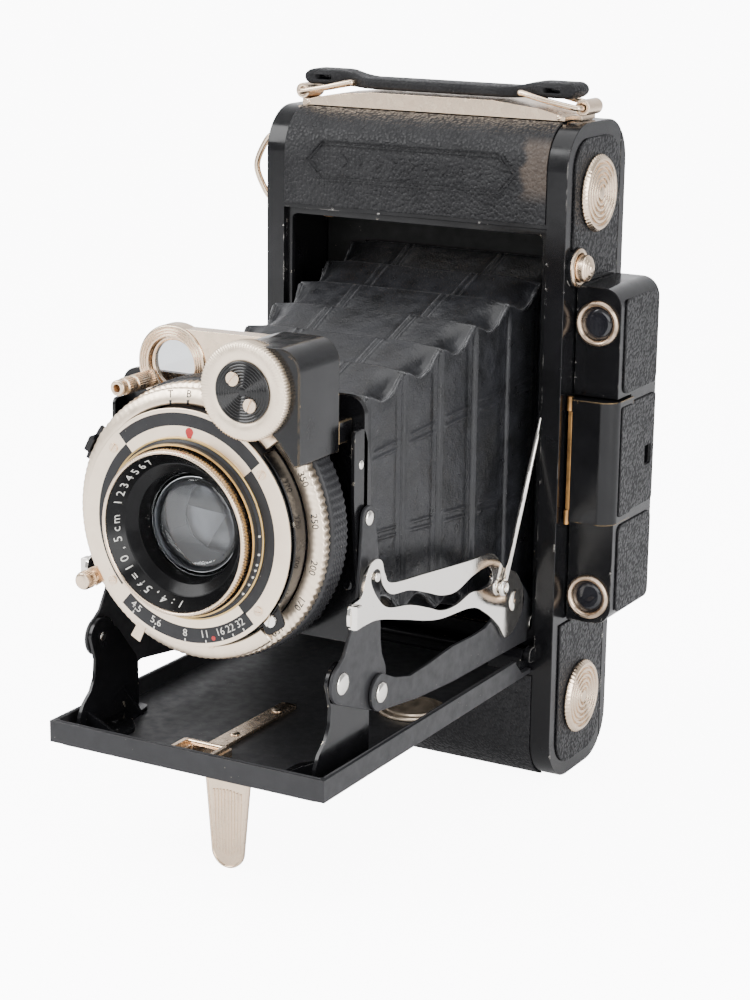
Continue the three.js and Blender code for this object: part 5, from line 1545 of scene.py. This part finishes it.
def build_iris():
    """The throat of the shutter, the iris leaves and the closed shutter blades behind them."""
    bm = lens_ring(bmesh.new(), [(12.9, -101.2), (12.9, -113.9), (12.3, -113.9), (12.3, -101.2)], 96)
    piece("shutter_throat", bm, DIAL_BLACK, "standard", bevel=0)
    iris = Span("iris_blades")
    bm = bmesh.new()
    leaves = 10
    sector = 360 / leaves
    for i in range(leaves):
        start = sector * i
        outer = arc(0, LENS_Z, 12.6, start, start + sector + 24, 10)
        inner = [polar(7.4, start + sector + 20), polar(7.0, start + sector), polar(7.4, start)]
        y = iris.y0 + 0.05 * (i % 2)
        prism(bm, "Y", outer + inner, y, y + 0.12)
    piece("iris_leaves", bm, IRIS_BLACK, "standard", ["iris_blades"], bevel=0.03)
    bm = bmesh.new()
    blades = 5
    sector = 360 / blades
    for i in range(blades):
        start = sector * i + 20
        outline = arc(0, LENS_Z, 12.4, start, start + sector + 8, 12)
        outline += [polar(0.4, start + 200), polar(5, start - 6)]
        y = iris.y1 + 0.1 + 0.06 * i
        prism(bm, "Y", outline, y, y + 0.05)
    piece("shutter_blades", bm, IRIS_STEEL, "standard", bevel=0)


def build_depth_collar():
    """The black collar with the depth-of-field marks, and its two brass lines."""
    root = COLLAR_BACK
    bm = lens_ring(bmesh.new(), [
        (18.3, root), (19.6, root), (19.6, root - 0.5), (19.0, root - 1), (18.95, -117.4), (18.6, -117.7),
        (18.3, -117.6),
    ])
    piece("depth_collar", bm, DIAL_BLACK, "standard", bevel=0.05)
    bm = lens_ring(bmesh.new(), [(19.6, root), (20.0, root - 0.05), (20.0, root - 0.5), (19.6, root - 0.6)])
    lens_ring(bm, [(18.5, -117.5), (18.9, -117.5), (18.9, -117.8), (18.5, -117.8)])
    piece("depth_collar_lines", bm, BRASS, "standard", bevel=0.04)
    bm = bmesh.new()
    for angle in (-38, -30, -24, -19, -15, -8, 4):
        band(bm, 19.35, 18.85, angle - 0.6, angle + 0.6, -116.3, -115.6)
    piece("depth_marks", bm, WHITE, "standard", bevel=0)


def build_focus():
    """The distance scale and the knurled focusing wheel behind it."""
    ring = Span("distance_scale_ring")
    r, bore = ring.x1, FRONT_RINGS_BORE
    bm = lens_ring(bmesh.new(), [
        (bore, ring.y1), (r, ring.y1), (r, ring.y0 + 0.5), (r - 0.35, ring.y0), (26.8, ring.y0),
        (bore, ring.y0 + 0.2),
    ], 720, (r - 0.01, 0.35, 120))
    piece("distance_dial", bm, SATIN_NICKEL, "focus_ring", ["distance_scale_ring"], bevel=0)
    bm = bmesh.new()
    distances = (
        (27, "350"), (8.5, "250"), (-12, "200"), (-30, "170"), (-48, "150"), (-64, "130"), (-80, "120"),
        (-150, "1000"), (170, "600"),
    )
    for angle, number in distances:
        dial_text(bm, number, 2.3, 28.5, angle, ring.y0 - 0.03)
    piece("distance_numbers", bm, BLACK, "focus_ring", bevel=0)
    wheel = Span("focus_wheel")
    r = wheel.x1
    profile = [(bore, wheel.y1), (r - 0.6, wheel.y1), (r, wheel.y1 - 0.5)]
    rows = 5
    depth = (wheel.y1 - wheel.y0 - 1.4) / rows
    for i in range(rows):
        y = wheel.y1 - 0.7 - i * depth
        profile += [(r, y), (r, y - depth * 0.78), (r - 0.22, y - depth * 0.9)]
    profile += [(r - 0.2, wheel.y0 + 0.3), (r - 0.8, wheel.y0), (bore, wheel.y0)]
    bm = lens_ring(bmesh.new(), profile, 720, (r - 0.1, 0.32, 120))
    piece("knurled_focus_wheel", bm, SATIN, "focus_ring", ["focus_wheel"], bevel=0)


def build_turret():
    """The rangefinder's turret beside the shutter."""
    turret = Span("finder_turret")
    x, z = WHEEL.x, WHEEL.z
    r, corner = 9.6, 5
    outline = [(turret.x1, 101), (turret.x1, z + r - corner)]
    outline += arc(turret.x1 - corner, z + r - corner, corner, 0, 90, 12)
    outline += arc(x, z, r, 90, 198, 28) + [(x + 2, 98)]
    body = prism(bmesh.new(), "Y", outline, turret.y0, -99)
    body = cut(body, drill("Y", 0, LENS_Z, 31.8, -130, -90, 144))
    block(body, 24, turret.x1, -99.2, turret.y1, 102.4, 107.4)
    node = "finder_turret"
    piece("rangefinder_turret", body, BRASSED_TURRET, "standard", [node], bevel=0.35)
    build_finder_wheel()


def build_finder_wheel():
    """The knurled wheel on the turret, with a grooved cap and two screws."""
    w = WHEEL
    r = w.x1 - w.x
    face = -117.62
    bm = lathe(bmesh.new(), "Y", (w.x, w.z), [
        (0, -113.6), (2.2, -113.6), (2.2, w.y1), (r - 0.5, w.y1), (r, w.y1 - 0.3), (r, -117.3),
        (r - 0.5, face),
        (6.9, face), (6.6, -117.4), (0, -117.4),
    ], 576, (r - 0.02, 0.3, 96))
    piece("knurled_finder_wheel", bm, SATIN_NICKEL, "finder_wheel", ["finder_wheel"], bevel=0)
    profile = [(0, -117.3), (6.55, -117.3), (6.55, -117.7)]
    ridge, pitch, hub = face - 0.3, 0.62, 0.9
    radius = 6.3
    while radius > hub:
        profile += [(radius, ridge), (radius - 0.16, ridge), (radius - 0.36, face), (radius - 0.46, face)]
        radius -= pitch
    profile.append((0, -117.9))
    bm = lathe(bmesh.new(), "Y", (w.x, w.z), profile, 96)
    piece("finder_wheel_cap", bm, GROOVED, "finder_wheel", bevel=0)
    bm = bmesh.new()
    for sign in (1, -1):
        screw(bm, "Y", (w.x - sign * 2.1, w.z + sign * 2.6), -117.8, -1, 1.5, 0.5, 52 if sign > 0 else 68)
    piece("finder_wheel_screws", bm, NICKEL, "finder_wheel", bevel=0.05)


def build_arm():
    """The swinging arm that holds the rangefinder's wedge in front of the upper window."""
    arm = Span("finder_arm")
    x, z = ring = (WEDGE.x, WEDGE.z)
    outline = [(WHEEL.x, WHEEL.z - 5.4)] + arc(WHEEL.x, WHEEL.z, 7.6, -60, 90, 12)
    outline += [(x, z + 8.0), (x + 2, z - 4.6)]
    bar = prism(bmesh.new(), "Y", outline, arm.y0 + 0.6, arm.y1)
    bm = cut(bar, drill("Y", x, z, 7.6, -110, -80))
    profile = [(6.0, arm.y1), (8.5, arm.y1), (8.8, arm.y1 - 0.3), (8.8, arm.y0 + 0.5), (8.55, arm.y0 + 0.1)]
    for radius in (8.1, 7.5, 6.9):
        profile += [
            (radius, arm.y0), (radius - 0.1, arm.y0 + 0.22), (radius - 0.3, arm.y0 + 0.22),
            (radius - 0.4, arm.y0),
        ]
    profile += [(6.1, arm.y0 + 0.1), (6.0, arm.y0 + 0.4)]
    lathe(bm, "Y", ring, profile, 96)
    piece("wedge_arm", bm, NICKEL, "finder_arm", ["finder_arm"], bevel=0.08)
    bm = lathe(bmesh.new(), "Y", ring, [
        (5.2, WEDGE.y0 + 0.05), (5.85, WEDGE.y0 - 0.2), (5.85, WEDGE.y1 + 0.2), (5.2, WEDGE.y1),
    ], 96)
    piece("wedge_cell", bm, NICKEL, "wedge_prism", bevel=0.05)
    profile = [(0, WEDGE.y0 + 0.15), (5.3, WEDGE.y0 + 0.15), (5.3, WEDGE.y1 - 0.15), (0, WEDGE.y1 - 0.15)]
    bm = lathe(bmesh.new(), "Y", ring, profile, 64)
    piece("wedge_glass", bm, WINDOW_GLASS, "wedge_prism", ["wedge_prism"], bevel=0.04)


def build_standard():
    """The board that carries the shutter, with an ear on each side for the legs."""
    board_half, corner = 31.2, 4
    outline = [(-board_half, 57), (board_half, 57)]
    outline += arc(board_half - corner, 108, corner, 0, 90, 8)
    outline += arc(corner - board_half, 108, corner, 90, 180, 8)
    bm = prism(bmesh.new(), "Y", outline, -93.4, -91.9, [circle(0, LENS_Z, 15, 64)])
    ear = soften([
        (-97.6, 104.4), (-96.9, 105.4), (-93.4, 105.4), (-92.2, 103), (-90.4, 97), (-90.2, 80), (-92.4, 62),
        (-93.4, 62), (-96.0, 76), (-97.6, 90),
    ], 2.0)
    for sign in (1, -1):
        prism(bm, "X", ear, *sorted((sign * 30.4, sign * board_half)), [circle(*LEG_HEAD, 1.3, 20)])
        for z in (70, 98):
            rivet(bm, "Y", (sign * 27.5, z), -93.35, -1, 1.2, 0.45)
    prism(bm, "Y", rounded(-21, 21, 60.4, 107.2, 3), -94.0, -93.3, [circle(0, LENS_Z, 24.6, 96)])
    piece("lens_board", bm, ENAMEL, "standard", ["lens_standard"], bevel=0.18)
    bm = bmesh.new()
    for sign in (1, -1):
        rivet(bm, "X", (-94.6, 97.6), sign * 31.15, sign, 1.0, 0.35)
    piece("board_rivets", bm, CHROME, "standard", bevel=0.04)


# ---------- bellows ----------
BELLOWS = Span("bellows")
BELLOWS_FRONT = (22, 61.5, 106)  # half width, low and high
BELLOWS_REAR = (BELLOWS.x1, BELLOWS.z0, BELLOWS.z1)
FOLDS = 7
RIDGE = 0.88  # share of a fold's length at which its ridge stands
STEP_HEIGHT = 3.1
STEP_ROOT = 2.3
CORNER_START = 0.76  # share of a side's half length from which it bends into the corner
CORNER_DROP = 0.9
PINCH = 3.4  # depth of the dent between two ridges at a corner
RIB_WIDTH = 0.014
RIB_SPREAD = 0.032
LONG_RIBS = (0.42, -0.42)
TALL_RIBS = (0.30, -0.42)


def bellows_section(t):
    """Half width, low and high of the bellows at a share of its length, from the board to the gate."""
    return tuple(near + (far - near) * t for near, far in zip(BELLOWS_FRONT, BELLOWS_REAR))


def side_stations(ribs):
    """Stations from -1 to 1 along a side of the section, closer together at the ribs and corners."""
    stations = [-1 + 2 * i / 26 for i in range(27)]
    for rib in ribs:
        stations += [rib + k * 0.0075 for k in (-3, -2, -1, 0, 1, 2, 3)]
    for end in (-1, 1):
        stations += [end * (1 - k) for k in (0.012, 0.03, 0.05, 0.07, 0.09, 0.11, 0.14, 0.18, 0.22)]
    return sorted(set(round(s, 5) for s in stations if -1 <= s <= 1))


def bellows_point(side, s, t):
    """A point of the pleated surface. side 0 is the top, then right, bottom and left; s runs along it."""
    half, low, high = bellows_section(t)
    tall, middle = (high - low) / 2, (high + low) / 2
    phase = (t * FOLDS) % 1.0
    rising = phase < RIDGE
    climb = (phase / RIDGE) ** 0.8 if rising else (1 - phase) / (1 - RIDGE)
    step = STEP_HEIGHT * climb - STEP_ROOT
    flat = -0.75 * hump(phase, 0.92, 0.05) - 0.4 * hump(phase, 0.78, 0.03)
    near = max(0.0, (abs(s) - CORNER_START) / (1 - CORNER_START))
    dent = PINCH * math.sin(math.pi * min(1.0, phase / RIDGE)) ** 1.3 if rising else 0.0
    level = (1 - near) * step - near**2 * (CORNER_DROP if rising else CORNER_DROP * (1 - climb))
    across_way = side in (0, 2)
    if across_way:
        crease = 1.2 * dent * hump(abs(s), 0.93, 0.035) * (0.5 if phase > 0.5 else 0.2)
        reach = tall + level - dent * near**1.5 - crease * 0.4
        across = s * (half - 0.12 * dent * near)
        ribs, limits, tall_rib = LONG_RIBS, (0.06, 0.84), 0.5
    else:
        reach = half + flat * (1 - near**2) - 0.12 * dent * near
        across = s * tall - math.copysign(near**1.5 * (dent + CORNER_DROP * (1 - climb)), s)
        ribs, limits, tall_rib = TALL_RIBS, (0.08, 0.72), 0.24
    for rib in ribs:
        for shift in (-RIB_SPREAD, RIB_SPREAD):
            if limits[0] < phase < limits[1]:
                reach += tall_rib * hump(s - rib, shift, RIB_WIDTH)
    y = BELLOWS.y0 + (BELLOWS.y1 - BELLOWS.y0) * t
    if side == 0:
        return across, y, middle + reach
    if side == 1:
        return reach, y, middle - across
    if side == 2:
        return -across, y, middle - reach
    return -reach, y, middle + across


def build_bellows():
    """Pleated leather: flat panels on the sides, stepped panels above and below, pinched at the corners."""
    ribs = (LONG_RIBS, TALL_RIBS, LONG_RIBS, TALL_RIBS)
    per_fold = (
        0.0, 0.03, 0.07, 0.13, 0.2, 0.3, 0.4, 0.5, 0.6, 0.7, 0.78, 0.83, 0.86, 0.875, 0.89, 0.92, 0.96
    )
    shares = [(fold + p) / FOLDS for fold in range(FOLDS) for p in per_fold] + [0.99999]
    bm = bmesh.new()
    rings = []
    for t in shares:
        ring = []
        for side in range(4):
            spots = side_stations([r + d for r in ribs[side] for d in (-RIB_SPREAD, RIB_SPREAD)])
            inner = [bellows_point(side, s, t) for s in spots]
            previous = bellows_point((side + 3) % 4, 1.0, t)
            corner = tuple((a + b) / 2 for a, b in zip(previous, inner[0]))
            ring.append(bm.verts.new(corner))
            ring += [bm.verts.new(p) for p in inner[1:-1]]
        rings.append(ring)
    bridge(bm, rings)
    obj = piece("pleated_bellows", bm, BELLOWS_LEATHER, "body", ["bellows"], bevel=0)
    skin = obj.modifiers.new("skin", "SOLIDIFY")
    skin.thickness = 0.6 * MM
    skin.offset = -1
    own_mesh(obj)


# ---------- the one CAD node that keeps its own solid ----------
def dress_film_gate():
    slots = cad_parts["film_gate"].data.materials
    slots.clear()
    slots.append(MATT)


# ---------- stage, light and camera ----------
def build_stage():
    """A white floor that curves up behind the camera body."""
    f = Finish("studio_paper")
    f.plug(f.mix(f.noise(60.0, 3), (0.86, 0.86, 0.87), (0.90, 0.90, 0.91)), "Base Color")
    f.put(roughness=0.75, emission_color=(0.99, 0.98, 0.99, 1))
    rays = f.nodes.new("ShaderNodeLightPath")
    f.plug(f.math("ADD", f.math("MULTIPLY", rays.outputs["Is Camera Ray"], 9.0), 0.25), "Emission Strength")
    bm = bmesh.new()
    reach, back, height, bend = 3000.0, 1500.0, 2500.0, 700.0
    profile = [(-reach, 0.0), (back - bend, 0.0)]
    profile += arc(back - bend, bend, bend, -90, 0, 24)[1:] + [(back, height)]
    rows = [[bm.verts.new((x, y, z)) for x in (-reach, reach)] for y, z in profile]
    for (a, b), (c, d) in zip(rows, rows[1:]):
        bm.faces.new([a, b, d, c])
    turn = Matrix.Rotation(math.radians(CAMERA_AZIMUTH), 3, "Z")
    bmesh.ops.rotate(bm, cent=(0, 0, 0), matrix=turn, verts=bm.verts)
    bmesh.ops.scale(bm, vec=(MM, MM, MM), verts=bm.verts)
    floor = mesh_object("studio_floor", bm)
    floor.data.shade_smooth()
    floor.data.materials.append(f.material)


def area_light(name, spot, aim, size, power):
    """A soft rectangular light at a spot in metres, turned towards another."""
    lamp = bpy.data.lights.new(name, "AREA")
    lamp.shape = "RECTANGLE"
    lamp.size, lamp.size_y = size
    lamp.energy = power
    obj = add_object(name, lamp)
    obj.location = spot
    obj.rotation_euler = (Vector(aim) - Vector(spot)).to_track_quat("-Z", "Y").to_euler()


CAMERA_AZIMUTH = 29.2386
CAMERA_ELEVATION = 14.7915
CAMERA_ROLL = 0.7287
CAMERA_DISTANCE = 597.68
CAMERA_TARGET = Vector((-9.105, -16.5, 66.735))
CAMERA_LENS = 85.56


def build_camera():
    """The view of the photograph."""
    az, el, roll = (math.radians(a) for a in (CAMERA_AZIMUTH, CAMERA_ELEVATION, CAMERA_ROLL))
    back = Vector((math.sin(az) * math.cos(el), -math.cos(az) * math.cos(el), math.sin(el)))
    level = Vector((math.cos(az), math.sin(az), 0))
    above = back.cross(level)
    right = level * math.cos(roll) + above * math.sin(roll)
    up = -level * math.sin(roll) + above * math.cos(roll)
    data = bpy.data.cameras.new("photo_camera")
    data.lens = CAMERA_LENS
    data.sensor_fit = "VERTICAL"
    data.sensor_height = 36
    data.clip_start = 0.01
    data.clip_end = 20
    camera = add_object("photo_camera", data)
    place = Matrix((right, up, back)).transposed().to_4x4()
    place.translation = (CAMERA_TARGET + back * CAMERA_DISTANCE) * MM
    camera.matrix_world = place
    bpy.context.scene.camera = camera


def build_light():
    """A pale sky and four soft lights."""
    world = bpy.data.worlds.new("studio")
    world.use_nodes = True
    background = world.node_tree.nodes["Background"]
    background.inputs["Color"].default_value = (0.97, 0.98, 1.0, 1)
    background.inputs["Strength"].default_value = 0.6
    bpy.context.scene.world = world
    middle = (0, -0.03, 0.08)
    area_light("key_left", (-0.75, -0.65, 0.75), middle, (0.7, 0.7), 15)
    area_light("fill_right", (1.0, -0.45, 0.45), middle, (0.5, 0.9), 13)
    area_light("top_soft", (0.0, -0.1, 1.15), middle, (1.2, 1.0), 10)
    area_light("front_low", (0.15, -1.25, 0.35), middle, (0.9, 0.5), 5)


build_camera()
build_stage()
build_light()
dress_film_gate()
build_body()
build_winding_key()
build_back()
build_handle()
build_rangefinder()
build_bed()
build_gear()
build_standard()
build_shutter()
build_lens()
build_focus()
build_turret()
build_arm()
build_bellows()

bpy.context.view_layer.update()
